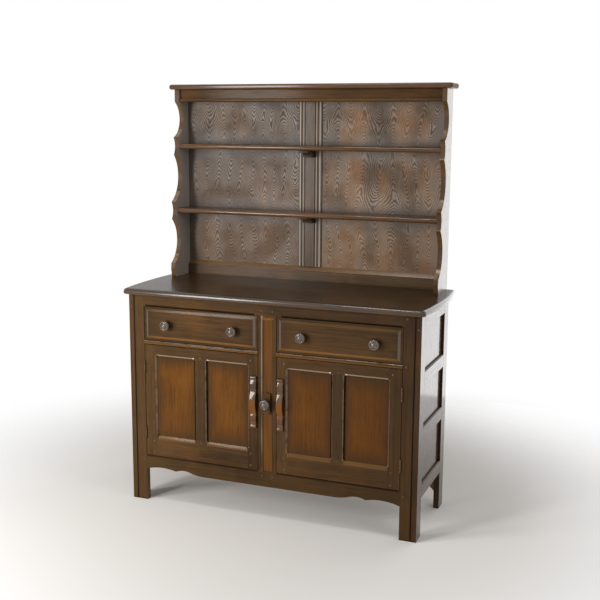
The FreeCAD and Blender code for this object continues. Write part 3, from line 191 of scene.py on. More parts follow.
# %% Finishes
class Finish(Recipe):
    """A material under construction."""

    def __init__(self, name, **constants):
        self.material = bpy.data.materials.new(name)
        self.material.use_nodes = True
        super().__init__(self.material.node_tree, "Principled BSDF", **constants)
        self.place = self.node("ShaderNodeTexCoord", {}, {}, "Object")

    def noise(self, scale, detail=3, roughness=0.5, stretch=None):
        """Cloudy noise. A stretch below 1 along an axis draws the clouds out along it."""
        place = self.place
        if stretch:
            place = self.node("ShaderNodeVectorMath", {"operation": "MULTIPLY"},
                              {0: place, 1: stretch})
        sockets = {"Vector": place, "Scale": scale, "Detail": detail, "Roughness": roughness}
        return self.node("ShaderNodeTexNoise", {}, sockets, "Fac")

    def axis(self, letter):
        return self.node("ShaderNodeSeparateXYZ", {}, {0: self.place}, letter)

    def facing(self, letter):
        """How far the surface looks along an axis, from -1 to 1."""
        normal = self.node("ShaderNodeNewGeometry", {}, {}, "True Normal")
        return self.node("ShaderNodeSeparateXYZ", {}, {0: normal}, letter)

    def front(self):
        """1 on faces that look to the front."""
        return (-self.facing("Y")).between(0.5, 0.8)

    def mix(self, amount, first, second, most=None):
        """One colour laid over another by an amount, or by a share of that amount."""
        if most is not None:
            amount = amount * most
        sockets = {0: amount, 6: colour(first), 7: colour(second)}
        return self.node("ShaderNodeMix", {"data_type": "RGBA"}, sockets, 2)

    def bump(self, height, depth, strength):
        sockets = {"Height": height, "Distance": depth, "Strength": strength}
        return self.node("ShaderNodeBump", {}, sockets, "Normal")

    def hollows(self, reach):
        """0 in tight corners and 1 on open faces, from the light that reaches them."""
        settings = {"samples": 4, "only_local": False}
        return self.node("ShaderNodeAmbientOcclusion", settings, {"Distance": reach}, "AO")


def colour(value):
    return value if isinstance(value, Signal) else (*value, 1)


print("finishes can hold noise, colours and bumps")

# %% [markdown]
# ## Floor
# The dresser stands on a plain pale floor that carries its shadow. A floor with an end would draw
# a line behind the dresser, and a curved backdrop would catch the lamps. So this one is a flat
# sheet that thins out to nothing away from the dresser.

# %% Floor
FLOOR_COLOUR, FLOOR_FAR_COLOUR = (0.85, 0.82, 0.78), (0.95, 0.94, 0.93)
FLOOR_REACH = 9
FLOOR_FADE = (0.75, 2.0)
floor_mesh = bpy.data.meshes.new("floor")
floor_corners = [(x * FLOOR_REACH, y * FLOOR_REACH, 0)
                 for x, y in ((-1, -1), (1, -1), (1, 1), (-1, 1))]
floor_mesh.from_pydata(floor_corners, [], [(0, 1, 2, 3)])
floor = bpy.data.objects.new("floor", floor_mesh)
bpy.context.scene.collection.objects.link(floor)

floor_paint = Finish("floor paint", Roughness=0.9, Specular_IOR_Level=0.1)
distance = floor_paint.node("ShaderNodeVectorMath", {"operation": "LENGTH"},
                            {0: floor_paint.place}, "Value")
fade = distance.between(*FLOOR_FADE)
floor_paint.feed(Base_Color=floor_paint.mix(fade, FLOOR_COLOUR, FLOOR_FAR_COLOUR), Alpha=1 - fade)
floor_mesh.materials.append(floor_paint.material)
print("floor", 2 * FLOOR_REACH, "m across")

# %% [markdown]
# ## World
# The dresser is seen against white. A world of full strength would wash out the dark wood, so this
# one is white to the eye and in reflections, where polish and metal need it, but gives only part
# of that light to the wood itself.

# %% World
WORLD_LIGHT = 0.32
world = bpy.data.worlds.new("studio")
bpy.context.scene.world = world
world.use_nodes = True
sky = Recipe(world.node_tree, "Background", Color=(1, 1, 1, 1))
eye, gloss, glass = (sky.node("ShaderNodeLightPath", {}, {}, f"Is {ray} Ray")
                     for ray in ("Camera", "Glossy", "Transmission"))
sky.feed(Strength=eye.most(gloss).most(glass).span(WORLD_LIGHT, 1))
print("the world gives", WORLD_LIGHT, "of its light")

# %% [markdown]
# ## Lamps
# Daylight comes from the front left, as from a window. One sun lamp would cast hard shadows, so
# every lamp here is a soft rectangle. The window is tall and stands in front on the left. A small
# lamp overhead marks the upper edges, and a broad one behind on the right gives polished sides
# something pale to mirror at a low angle. Two more, which no polish mirrors, lift the left end and
# the inner face of the rack's left side.


# %% Lamps
def soft_lamp(name, place, target, size, watts, mirrored=True):
    """A rectangular lamp that faces a point, and that polish mirrors unless told otherwise."""
    lamp = bpy.data.objects.new(name, bpy.data.lights.new(name, "AREA"))
    lamp.data.shape = "RECTANGLE"
    lamp.data.size, lamp.data.size_y = size
    lamp.data.energy = watts
    lamp.location = place
    lamp.rotation_euler = (Vector(target) - Vector(place)).to_track_quat("-Z", "Y").to_euler()
    lamp.visible_camera = False
    lamp.visible_glossy = mirrored
    bpy.context.scene.collection.objects.link(lamp)
    return lamp


lamps = [
    soft_lamp("window", place=(-1.6, -3.0, 1.4), target=(0, 0, 0.85), size=(0.6, 1.9), watts=58),
    soft_lamp("overhead", place=(-0.3, -0.9, 3.3), target=(0, -0.2, 0.6), size=(0.6, 0.35),
              watts=12),
    soft_lamp("pale sheet", place=(1.7, 1.7, 1.15), target=(1.7, 0, 1.15), size=(2.4, 2.3),
              watts=18),
    soft_lamp("left fill", place=(-2.2, -2.1, 0.9), target=(-0.4, -0.2, 0.4), size=(0.8, 0.8),
              watts=44, mirrored=False),
    soft_lamp("right fill", place=(2.5, -0.9, 1.6), target=(-0.4, 0.1, 1.2), size=(1.2, 1.2),
              watts=12, mirrored=False),
]
print(len(lamps), "lamps")

# %% [markdown]
# ## Grain
# The timber is open-grained: close up it has broad lighter and darker areas, thin streaks along
# the grain and long pores. A picture of a board would repeat, so all three are noise, squeezed
# across the grain and drawn out along it. One recipe then serves boards that run in any direction.

# %% Grain
TONE_SCALE, STREAK_SCALE, PORE_SCALE = 5, 95, 620
TONE_STRETCH, STREAK_STRETCH, PORE_STRETCH = 0.3, 0.03, 0.022
PORE_STEP = (0.54, 0.66)


def along(grain, lengthwise):
    """Scale factors that draw a pattern out along one axis."""
    return tuple(lengthwise if axis == grain else 1 for axis in "xyz")


def wood_grain(finish, grain):
    """Broad tone, streaks and pores of a board whose grain runs along an axis."""
    tone = finish.noise(TONE_SCALE, stretch=along(grain, TONE_STRETCH))
    streak = finish.noise(STREAK_SCALE, detail=4, roughness=0.62,
                          stretch=along(grain, STREAK_STRETCH))
    pores = finish.noise(PORE_SCALE, detail=2, roughness=0.7,
                         stretch=along(grain, PORE_STRETCH))
    return tone, streak, pores.between(*PORE_STEP)


print("pores", round(1 / PORE_STRETCH), "times as long as wide")

# %% [markdown]
# ## Stain and polish
# The frame was stained almost black-brown and polished. Where hands and cloths have thinned the
# stain it is a warmer brown. Light and shade are painted in as well: the left end is painted
# lighter and the right end darker, as the window light falls off across the dresser, and the
# corners hold dark polish with painted shade over it. Such marks could be painted board by board.
# Here they are found from the shape: chamfers and moulded edges are known by the way they face.
# Steep ones that look up or to the right are rubbed pale with a painted highlight, and those that
# look to the left less so. Gentle ones that look up get painted warm light, and those that look
# down a painted warm reflection of the floor. The polish is thick on the sides and on rubbed
# edges, and thin on the front.

# %% Stain and polish
Tones = namedtuple("Tones", "dark light warm")
FRAME_TONES = Tones((0.028, 0.0132, 0.0045), (0.110, 0.0550, 0.0165), (0.160, 0.0640, 0.0120))
PORE_DARK, GRIME_AND_SHADE, RUBBED_AND_HIGHLIT = (0.012, 0.007, 0.0035), (0.008, 0.005, 0.003), (0.34, 0.23, 0.13)
PAINTED_SILL_LIGHT, PAINTED_FLOOR_REFLECTION = (0.165, 0.0760, 0.0200), (0.330, 0.1400, 0.0290)
TONE_WEIGHT, STREAK_WEIGHT, STAIN_STEP = 1.1, 0.8, (0.6, 1.4)
THIN_SCALE, THIN_STEP = 5, (0.45, 0.75)
# Spans of the painted light at the left end and the painted shade at the right end.
SHADED_RIGHT_END, LIT_LEFT_END, LIT_LEFT_SHARE = (-0.35, 0.6), (-0.6, -0.05), 0.8
GENTLE, STEEP, DOWNWARD, SIDEWAYS = (0.2, 0.5), (0.5, 0.94), (0.15, 0.95), (0.9, 0.98)
RUB_AND_HIGHLIGHT_SCALE, RUB_AND_HIGHLIGHT_STEP, LEFT_RUB_AND_HIGHLIGHT = 40, (0.2, 0.6), 0.4
CORNER_REACH, CORNER_STEP = 0.016, (0.15, 0.95)
STREAK_RISE, PORE_SINK = 0.4, 0.8
POLISH = {"Coat_Roughness": 0.12, "Coat_IOR": 1.5, "Specular_IOR_Level": 0.04}


# fade sets how strongly the painted left-to-right light and shade show.
def stained_wood(name, grain, tones=FRAME_TONES, rub=0.6, shine=0.2, under=0.7, fade=0.5,
                 **constants):
    """Polished stained wood. Returns the finish and its colour, which a caller may still tint."""
    finish = Finish(name, **{**POLISH, **constants})
    tone, streak, pores = wood_grain(finish, grain)
    across, up, right = finish.axis("X"), finish.facing("Z"), finish.facing("X")
    mottle = (tone * TONE_WEIGHT + streak * STREAK_WEIGHT).between(*STAIN_STEP)
    stain = finish.mix(mottle, tones.dark, tones.light)
    thinned = finish.noise(THIN_SCALE).between(*THIN_STEP)
    stain = finish.mix(thinned, stain, tones.warm, most=0.4)
    # Painted shade: darker towards the right end, where less window light falls.
    stain = finish.mix(across.between(*SHADED_RIGHT_END), stain, tones.dark, most=fade)
    # Painted light: lighter at the left end, where the window light falls.
    lit_left = 1 - across.between(*LIT_LEFT_END)
    stain = finish.mix(lit_left, stain, tones.light, most=fade * LIT_LEFT_SHARE)
    stain = finish.mix(pores, stain, PORE_DARK, most=0.55)
    # Painted light: gentle slopes that look up are painted a warm lit brown.
    stain = finish.mix(up.band(*GENTLE), stain, PAINTED_SILL_LIGHT, most=min(under, 0.5))
    # Painted reflection: faces that look down are painted warm orange, as if mirroring a wooden
    # floor.
    stain = finish.mix((-up).band(*DOWNWARD), stain, PAINTED_FLOOR_REFLECTION, most=under)
    # Rubbed pale edges with a painted highlight, strongest on steep faces that look up or right.
    edges = up.band(*STEEP) + right.band(*STEEP) + (-right).band(*STEEP) * LEFT_RUB_AND_HIGHLIGHT
    worn_and_highlit = edges * finish.noise(RUB_AND_HIGHLIGHT_SCALE).between(*RUB_AND_HIGHLIGHT_STEP) * rub
    stain = finish.mix(worn_and_highlit, stain, RUBBED_AND_HIGHLIT)
    # Dark polish and painted shade: hollows are painted darker where less light reaches them.
    corners = 1 - finish.hollows(CORNER_REACH).between(*CORNER_STEP)
    stain = finish.mix(corners, stain, GRIME_AND_SHADE, most=0.75)
    normal = finish.bump(streak * STREAK_RISE - pores * PORE_SINK, depth=0.0002, strength=0.5)
    coat = (abs(right).between(*SIDEWAYS) + worn_and_highlit).span(shine, 1).least(1) * pores.span(1, 0.6)
    finish.feed(Roughness=streak.span(0.34, 0.54), Coat_Weight=coat, Normal=normal)
    return finish, stain


# The keywords carry real wear together with the amounts of painted light and shade.
def plain_stain(name, grain, tones=FRAME_TONES, **wear_and_painted_light):
    """Stained wood with nothing more on it."""
    finish, stain = stained_wood(f"{name} along {grain}", grain, tones, **wear_and_painted_light)
    return finish.feed(Base_Color=stain).material


# Where the painted light and shade across the dresser begin and end.
print("stains fade between", LIT_LEFT_END[0], "m and", SHADED_RIGHT_END[1], "m from the middle")

# %% [markdown]
# ## Frame and rack
# Boards of one dresser never match. One wood for all of them would look moulded from one piece, so
# each kind of board gets the same recipe with its own stains, wear and painted light. The rack is
# paler and duller than the base, its shelves shine more, and the rails differ in how much painted
# warm reflection of the floor shows below.

# %% Woods of the frame and the rack
RACK_TONES = Tones((0.040, 0.0210, 0.0085), (0.115, 0.0640, 0.0270), (0.160, 0.0770, 0.0250))
SHELF_TONES = Tones((0.036, 0.0160, 0.0060), (0.120, 0.0550, 0.0200), (0.170, 0.0700, 0.0200))
APRON_TONES = Tones((0.024, 0.0120, 0.0042), (0.080, 0.0420, 0.0135), (0.115, 0.0480, 0.0100))
RACK_POLISH = {"rub": 0.45, "shine": 0.3, "under": 0.15, "fade": 0,
               "Coat_Roughness": 0.2, "Specular_IOR_Level": 0.12}
frame_wood, board_wood = (plain_stain("frame wood", grain, rub=0.45) for grain in "zx")
rack_wood = plain_stain("rack wood", "z", RACK_TONES, **RACK_POLISH)
shelf_wood = plain_stain("shelf wood", "x", SHELF_TONES, rub=0.15, shine=0.6, under=0.1, fade=0)
frieze_wood = plain_stain("frieze wood", "x", rub=0.2, shine=0.12, under=0, fade=0)
top_rail_wood = plain_stain("top rail wood", "x", under=0)
drawer_rail_wood = plain_stain("drawer rail wood", "x", under=0.35)
side_rail_wood = plain_stain("side rail wood", "y", rub=0, under=0)
side_panel_wood = plain_stain("side panel wood", "z")
door_muntin_wood = plain_stain("door muntin wood", "z", APRON_TONES)
apron_wood = plain_stain("apron wood", "x", APRON_TONES, rub=0)
print(len(bpy.data.materials), "finishes so far")

# %% [markdown]
# ## Top boards
# Both top boards shine unevenly. The worktop has a thin polish on the flat and a thick one round
# the nose that every cloth passes over. The end grain of the rack's top drank the polish, so only
# its long edges shine. Both follow from the way a face looks, so the coat is simply fed again.

# %% Top boards
TOP_TONES = Tones((0.022, 0.0115, 0.0042), (0.060, 0.0310, 0.0105), (0.085, 0.0400, 0.0110))
FLAT_TOP, BOARD_END = (0.9, 0.99), (0.3, 0.7)


def worktop_wood():
    finish, stain = stained_wood("worktop wood", "x", TOP_TONES, rub=0, under=0.2, fade=0.2,
                                 Coat_Roughness=0.14)
    nose = 1 - finish.facing("Z").between(*FLAT_TOP)
    return finish.feed(Base_Color=stain, Coat_Weight=nose.span(0.4, 1)).material


def crown_wood():
    finish, stain = stained_wood("rack top wood", "x", SHELF_TONES, rub=0.15, under=0.1, fade=0)
    end = abs(finish.facing("X")).between(*BOARD_END)
    return finish.feed(Base_Color=stain, Coat_Weight=end.span(0.6, 0.03)).material


top_wood, rack_top_wood = worktop_wood(), crown_wood()
print("made", top_wood.name, "and", rack_top_wood.name)

# %% [markdown]
# ## Small glossy pieces
# Handles and knobs are touched every day and keep the brightest polish. More light would brighten
# the whole front, so instead their coat mirrors more, and more sharply. The bow that fingers hold
# is worn to orange and has lost most of its coat. Pegs stand a little proud and have been rubbed
# pale, while the plugs in the rack's sides were left dark.

# %% Handles, knobs, pegs and plugs
HANDLE_TONES = Tones((0.028, 0.0120, 0.0040), (0.100, 0.0400, 0.0085), (0.170, 0.0600, 0.0085))
KNOB_TONES = Tones((0.030, 0.0210, 0.0140), (0.100, 0.0720, 0.0510), (0.110, 0.0700, 0.0430))
PEG_TONES = Tones((0.045, 0.0270, 0.0130), (0.110, 0.0680, 0.0340), (0.130, 0.0760, 0.0380))
PLUG_TONES = Tones((0.012, 0.0070, 0.0040), (0.040, 0.0220, 0.0100), (0.050, 0.0260, 0.0100))
BRIGHT_POLISH = {"rub": 0, "shine": 0.75, "under": 0.2, "fade": 0,
                 "Coat_Roughness": 0.06, "Specular_IOR_Level": 0.1}
KNOB_POLISH = {**BRIGHT_POLISH, "shine": 0.9, "Coat_IOR": 1.85}
BOW_STAIN, BOW_SHARE, BOW_SHINE = (0.180, 0.0640, 0.0105), (0.2, 0.62), 0.15


def bow_handle_wood():
    finish, stain = stained_wood("handle wood", "z", HANDLE_TONES, **BRIGHT_POLISH)
    low, high = (corner.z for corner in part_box("left_door_handle"))
    bow = ((finish.axis("Z") - low) / (high - low)).band(*BOW_SHARE, soft=0.12)
    stain = finish.mix(bow, stain, BOW_STAIN, most=0.8)
    coat = bow.span(BRIGHT_POLISH["shine"], BOW_SHINE)
    return finish.feed(Base_Color=stain, Coat_Weight=coat).material


handle_wood = bow_handle_wood()
knob_wood = plain_stain("knob wood", "y", KNOB_TONES, **KNOB_POLISH)
peg_wood = plain_stain("peg wood", "y", PEG_TONES, **BRIGHT_POLISH)
plug_wood = plain_stain("plug wood", "x", PLUG_TONES, under=0.1)
print("small pieces have their woods")

# %% [markdown]
# ## Muntins
# Two upright pieces change colour across their width. The muntin between the doors has a sunk
# channel, orange-brown and streaky, with a pale painted highlight along its left edge. The beads
# along the rack's muntin have painted highlights, nearly white, on their crests. Splitting the
# pieces would give each strip its own material, but masks by the distance from the middle keep each
# piece whole.

# %% Muntins
CHANNEL_HALF, CHANNEL_SOFT, HIGHLIGHT_LINE = 0.021, 0.002, -0.022
CHANNEL_STREAKS, HIGHLIGHT_PATCHES, PATCH_STRETCH = 160, 30, 0.2
UNEVEN_STEP, LINE_SOFT, CREST_SOFT = (0.3, 0.7), (0.001, 0.004), (0.001, 0.0045)
BEAD_CRESTS, INNER_HIGHLIGHT, OUTER_HIGHLIGHT = (0.02725, 0.04175), 0.3, 0.5
CHANNEL_STAIN, PAINTED_CREST_HIGHLIGHT = (0.135, 0.0480, 0.0055), (0.56, 0.54, 0.50)
PAINTED_EDGE_HIGHLIGHT = (0.42, 0.37, 0.30)


def muntin_wood():
    finish, stain = stained_wood("muntin wood", "z", rub=0.25)
    across = finish.axis("X")
    channel = across.near(0, CHANNEL_HALF - CHANNEL_SOFT, CHANNEL_HALF)
    streak = finish.noise(CHANNEL_STREAKS, stretch=along("z", STREAK_STRETCH))
    streaky = streak.between(*UNEVEN_STEP).span(0.2, 0.95)
    stain = finish.mix(channel * streaky, stain, CHANNEL_STAIN)
    patches = finish.noise(HIGHLIGHT_PATCHES, stretch=along("z", PATCH_STRETCH))
    # Painted highlight along the channel's left edge, in patches.
    edge_highlight = across.near(HIGHLIGHT_LINE, *LINE_SOFT) * patches.between(*UNEVEN_STEP)
    return finish.feed(Base_Color=finish.mix(edge_highlight, stain, PAINTED_EDGE_HIGHLIGHT, most=0.45)).material


def rack_muntin_wood():
    finish, stain = stained_wood("rack muntin wood", "z", RACK_TONES, **RACK_POLISH)
    from_middle = abs(finish.axis("X"))
    inner, outer = (from_middle.near(crest, *CREST_SOFT) for crest in BEAD_CRESTS)
    # Painted highlights along the bead crests on the front.
    crest_highlights = (inner * INNER_HIGHLIGHT + outer * OUTER_HIGHLIGHT) * finish.front()
    return finish.feed(Base_Color=finish.mix(crest_highlights, stain, PAINTED_CREST_HIGHLIGHT)).material


centre_muntin_wood, beaded_muntin_wood = muntin_wood(), rack_muntin_wood()
print("channel", 2 * CHANNEL_HALF, "m wide")

# %% [markdown]
# ## Moulded rails
# The rack's bottom rail has a sloped upper edge that is painted a lit orange-brown. The lips over
# the door panels carry a pale painted highlight, and a bright painted glint in a dot on each side
# of the door's own muntin. The slopes are found by the way they face, and the dots by the muntin's
# own size, so they stay in place if the door changes.

# %% Moulded rails
PAINTED_SLOPE_LIGHT, PAINTED_DOT_GLINT = (0.200, 0.1050, 0.0400), (0.95, 0.93, 0.90)
RAIL_SLOPE, DOT_OFFSET, DOT_SOFT = (0.2, 0.95), 0.004, (0.002, 0.006)


def middle_and_half(low, high):
    return (low + high) / 2, (high - low) / 2


def bottom_rail_wood():
    polish = {**RACK_POLISH, "rub": 0.1}
    finish, stain = stained_wood("bottom rail wood", "x", RACK_TONES, **polish)
    # Painted light: the sloped upper edge faces up and is painted a lit orange-brown.
    slope = finish.facing("Z").band(*RAIL_SLOPE)
    return finish.feed(Base_Color=finish.mix(slope, stain, PAINTED_SLOPE_LIGHT, most=0.45)).material


def door_rail_wood():
    finish, stain = stained_wood("door rail wood", "x")
    lip = (-finish.facing("Z")).band(*STEEP)
    first, last = sorted(abs(corner.x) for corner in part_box("left_door_muntin"))
    centre, half = middle_and_half(first, last)
    from_muntin = abs(abs(finish.axis("X")) - centre)
    dot = from_muntin.near(half + DOT_OFFSET, *DOT_SOFT)
    # Painted highlight along the lips over the panels.
    stain = finish.mix(lip, stain, PAINTED_EDGE_HIGHLIGHT, most=0.6)
    # Painted glints at the ends of the lips beside the door's muntin.
    return finish.feed(Base_Color=finish.mix(lip * dot, stain, PAINTED_DOT_GLINT)).material


sloped_rail_wood, lipped_rail_wood = bottom_rail_wood(), door_rail_wood()
print("made", sloped_rail_wood.name, "and", lipped_rail_wood.name)

# %% [markdown]
# ## Uprights
# Dark polish and painted shade fill the quirk between each front stile and the leg beside it, and
# the inner face of the rack's left side gets a painted grey sheen, as if lit from the right. A thin
# dark strip could be modelled in the quirk, but it is only a stain, so both are laid over the wood
# by place and by the way it faces.

# %% Uprights
PAINTED_SHEEN = (0.380, 0.3400, 0.3050)
QUIRK_SOFT = (0.002, 0.005)


def upright_wood():
    finish, stain = stained_wood("upright wood", "z", rub=0)
    quirk = abs(finish.axis("X")).near(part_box("right_front_stile")[1].x, *QUIRK_SOFT)
    # Dark polish and painted shade along the quirk on the front faces.
    stain = finish.mix(quirk * finish.front(), stain, GRIME_AND_SHADE, most=0.9)
    return finish.feed(Base_Color=stain).material


def sheen_side_wood():
    finish, stain = stained_wood("rack wood with painted sheen", "z", RACK_TONES, **RACK_POLISH)
    inner_face = finish.facing("X").between(*SIDEWAYS)
    # Painted sheen: the inner face is painted grey, as if it mirrored a pale wall on the right.
    return finish.feed(Base_Color=finish.mix(inner_face, stain, PAINTED_SHEEN, most=0.85)).material


stile_wood, sheen_wood = upright_wood(), sheen_side_wood()
print("made", stile_wood.name, "and", sheen_wood.name)

# %% [markdown]
# ## Drawer fronts
# The polisher shaded the drawer fronts by hand, darker towards their edges. A round gradient would
# leave the corners too dark. The mask used here is the larger of two distances from the middle,
# across and up, with some noise so that its edge is uneven. The slopes at both ends of the raised
# field carry a faint painted highlight.

# %% Drawer fronts
DRAWER_EDGE, DRAWER_SLOPE = (0.024, 0.0130, 0.0060), (0.2, 0.6)


def towards_frame(finish, sideways, upright, patches, swing, step):
    """0 in the middle of a field and 1 at its edge, along an uneven line."""
    uneven = finish.noise(patches).span(-swing, swing)
    return (sideways.most(upright) + uneven).between(*step)


def drawer_front_wood():
    finish, stain = stained_wood("drawer front wood", "x", under=0.5, fade=0.25)
    low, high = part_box("right_drawer_front")
    centre, half = middle_and_half(low.x, high.x)
    level, half_height = middle_and_half(low.z, high.z)
    sideways = abs(abs(finish.axis("X")) - centre) / half
    upright = abs(finish.axis("Z") - level) / half_height
    edge = towards_frame(finish, sideways, upright * 0.96, patches=8, swing=0.1, step=(0.6, 1.02))
    stain = finish.mix(edge, stain, DRAWER_EDGE, most=0.5)
    # Painted highlight on the slopes at both ends of the raised field.
    slope = abs(finish.facing("X")).band(*DRAWER_SLOPE)
    return finish.feed(Base_Color=finish.mix(slope, stain, PAINTED_EDGE_HIGHLIGHT, most=0.16)).material


drawer_wood = drawer_front_wood()
print("made", drawer_wood.name)

# %% [markdown]
# ## Door panels
# The door panels are the warmest wood on the dresser, shaded from orange-brown in the middle to
# dark at the frame. A door has two panels in one piece, so the distance across is taken from the
# nearer panel's middle line, and the same mask then serves both doors. The wood is also painted
# darker towards the right, as painted shade where less window light falls.

# %% Door panels
PANEL_TONES = Tones((0.080, 0.0310, 0.0055), (0.160, 0.0580, 0.0080), (0.210, 0.0750, 0.0090))
PANEL_EDGE, PANEL_PAINTED_SHADE, PANEL_SHADE_SPAN = (0.040, 0.0215, 0.0090), (0.060, 0.0190, 0.0030), (-0.3, 0.3)
GROOVE = 0.008


def panel_columns():
    """Middle and half width of a door's two panels, as distances from the dresser's middle."""
    low, high = sorted(abs(corner.x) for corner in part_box("left_door_panels"))
    first, last = sorted(abs(corner.x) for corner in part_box("left_door_muntin"))
    return middle_and_half(low + GROOVE, first), middle_and_half(last, high - GROOVE)


def door_panel_wood():
    finish, stain = stained_wood("door panel wood", "z", PANEL_TONES, shine=0.12, fade=0.1)
    low, high = (corner.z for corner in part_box("left_door_panels"))
    level, half_height = middle_and_half(low + GROOVE, high - GROOVE)
    (first, half), (second, _) = panel_columns()
    across = abs(finish.axis("X"))
    sideways = abs(across - first).least(abs(across - second)) / half
    upright = abs(finish.axis("Z") - level) / half_height
    edge = towards_frame(finish, sideways, upright.span(-0.06, 0.98), patches=9, swing=0.15,
                         step=(0.5, 1.1))
    # Painted shade: darker towards the right, where less window light falls.
    stain = finish.mix(finish.axis("X").between(*PANEL_SHADE_SPAN), stain, PANEL_PAINTED_SHADE, most=0.4)
    return finish.feed(Base_Color=finish.mix(edge, stain, PANEL_EDGE, most=0.8)).material


panel_wood = door_panel_wood()
print("panel columns", [round(half * 2, 3) for _, half in panel_columns()], "m wide")

# %% [markdown]
# ## Figured veneer
# The rack's back is rotary-cut veneer. Its figure looks like a contour map of flames, with a row of
# eyes here and there, and it repeats every hand's breadth because the knife meets the same growth
# rings again and again. A wave texture gives only even bands, so the figure is made as a contour
# map: a steady rise from the foot to the top, plus a wave across whose size changes with the
# height. Where that size changes fast, flames close into eyes. The sine of many times this height
# gives the lines.

# %% Flame lines
FLAME_WIDTH, FLAME_RISE, LINE_COUNT = 0.105, 20, 18
FLAME_PUSH, FLAME_SIZE, FLAME_DRIFT, FLAME_RAGGED = 8, 2.6, 1.2, 0.42
CLEAR_STEP = (0.35, 0.65)


def flame_lines(finish):
    """Contour lines between 0 and 1, clear in some places and faint in others."""
    push = finish.noise(scale=4, detail=2, stretch=along("z", 0.7)) * FLAME_PUSH
    size = finish.noise(scale=9, detail=1, stretch=along("x", 0.12)) * FLAME_SIZE
    waves = (finish.axis("X") * (math.tau / FLAME_WIDTH) + push).sine() * size
    drift = finish.noise(scale=11, detail=2) * FLAME_DRIFT
    ragged = finish.noise(scale=120, roughness=0.65, stretch=along("z", 0.45)) * FLAME_RAGGED
    height = finish.axis("Z") * FLAME_RISE + waves + drift + ragged
    clear = finish.noise(scale=9, detail=2).between(*CLEAR_STEP)
    return ((height * LINE_COUNT).sine() * 0.5 + 0.5) * clear.span(0.3, 1)


print("veneer flames every", FLAME_WIDTH, "m")

# %% [markdown]
# ## Veneer stain
# The lines are slightly raised and take more polish than the ground between them, and a painted
# sheen makes them pale, most of all towards the right. The ground is fine-grained, with warm clouds
# in it, painted shade at the left and painted light at the foot. Along the frame a painted grey
# sheen lies over it, and grime and painted shade fill the deepest corners. A painted picture could
# show all this, but layers that follow the place and the hollows stay sharp at any distance.

# %% Rack back
VENEER_TONES = Tones((0.032, 0.0150, 0.0055), (0.145, 0.0710, 0.0270), (0.260, 0.1120, 0.0290))
VENEER_LINE_SHEEN, VENEER_EDGE_SHEEN = (0.400, 0.3450, 0.2800), (0.160, 0.1520, 0.1440)
FINE_WEIGHT, CLOUD_WEIGHT, GROUND_STEP, WARM_STEP = 1.2, 0.5, (0.55, 1.4), (0.42, 0.68)
SHADED_LEFT_SIDE, LIT_FOOT, LINE_SHEEN_SPAN = (-0.5, 0.2), (0.95, 1.4), (-0.5, 0.5)
FRAME_REACH, SHEEN_STEP, GRIME_AND_SHADE_STEP = 0.07, (0.55, 0.98), (0.1, 0.5)
LINE_RISE, FINE_RISE = 0.7, 0.3


def rack_veneer():
    finish = Finish("figured veneer", Coat_Roughness=0.3, Coat_IOR=1.5, Specular_IOR_Level=0.15)
    across, raised = finish.axis("X"), flame_lines(finish)
    fine = finish.noise(scale=420, roughness=0.6, stretch=along("z", 0.05))
    clouds = finish.noise(scale=11, detail=4, stretch=along("z", 0.3))
    ground = (fine * FINE_WEIGHT + clouds * CLOUD_WEIGHT).between(*GROUND_STEP)
    stain = finish.mix(ground, VENEER_TONES.dark, VENEER_TONES.light)
    stain = finish.mix(clouds.between(*WARM_STEP) * fine, stain, VENEER_TONES.warm)
    # Painted shade: darker towards the left, evening out the window light there.
    stain = finish.mix(1 - across.between(*SHADED_LEFT_SIDE), stain, VENEER_TONES.dark, most=0.7)
    # Painted light: lighter towards the foot, where the shelves shade the back.
    foot = 1 - finish.axis("Z").between(*LIT_FOOT)
    stain = finish.mix(foot, stain, VENEER_TONES.light, most=0.35)
    # Figure lines with a painted sheen, paler towards the right.
    stain = finish.mix(raised * across.between(*LINE_SHEEN_SPAN).span(0.27, 0.53), stain, VENEER_LINE_SHEEN)
    open_air = finish.hollows(FRAME_REACH)
    # Painted reflection: a grey sheen near the frame.
    stain = finish.mix(1 - open_air.between(*SHEEN_STEP), stain, VENEER_EDGE_SHEEN, most=0.45)
    # Grime and painted shade in the deepest corners, beneath the shelves and by the frame.
    stain = finish.mix(1 - open_air.between(*GRIME_AND_SHADE_STEP), stain, GRIME_AND_SHADE, most=0.6)
    normal = finish.bump(raised * LINE_RISE + fine * FINE_RISE, depth=0.0004, strength=0.6)
    return finish.feed(Base_Color=stain, Roughness=raised.span(0.5, 0.36),
                       Coat_Weight=raised.span(0.05, 0.35), Normal=normal).material


veneer = rack_veneer()
print("made", veneer.name)

# %% [markdown]
# ## Inside wood and metal
# Drawer boxes, runners and the back are plain timber that never saw stain, now grey-brown with age.
# The hinges are brass gone almost black, and the two plates behind the rack are dull steel. They
# are hardly seen at rest, so the wood reuses the grain without the wear but with grime and painted
# shade in its corners, and the metals are one short recipe of spots and fine scratches.

# %% Inside wood and metal
BARE_DARK, BARE_LIGHT = (0.20, 0.115, 0.055), (0.40, 0.25, 0.135)
BARE_PORES, BARE_GRIME_AND_SHADE = (0.10, 0.055, 0.025), (0.07, 0.042, 0.022)
BARE_TONE, BARE_STREAK, BARE_STEP = 0.5, 0.7, (0.25, 0.95)
BARE_CORNER_REACH, BARE_CORNER_STEP = 0.03, (0.2, 0.85)
SPOT_SCALE, SPOT_STEP, SCRATCH_SCALE, SCRATCH_STRETCH = 260, (0.42, 0.66), 900, 0.06


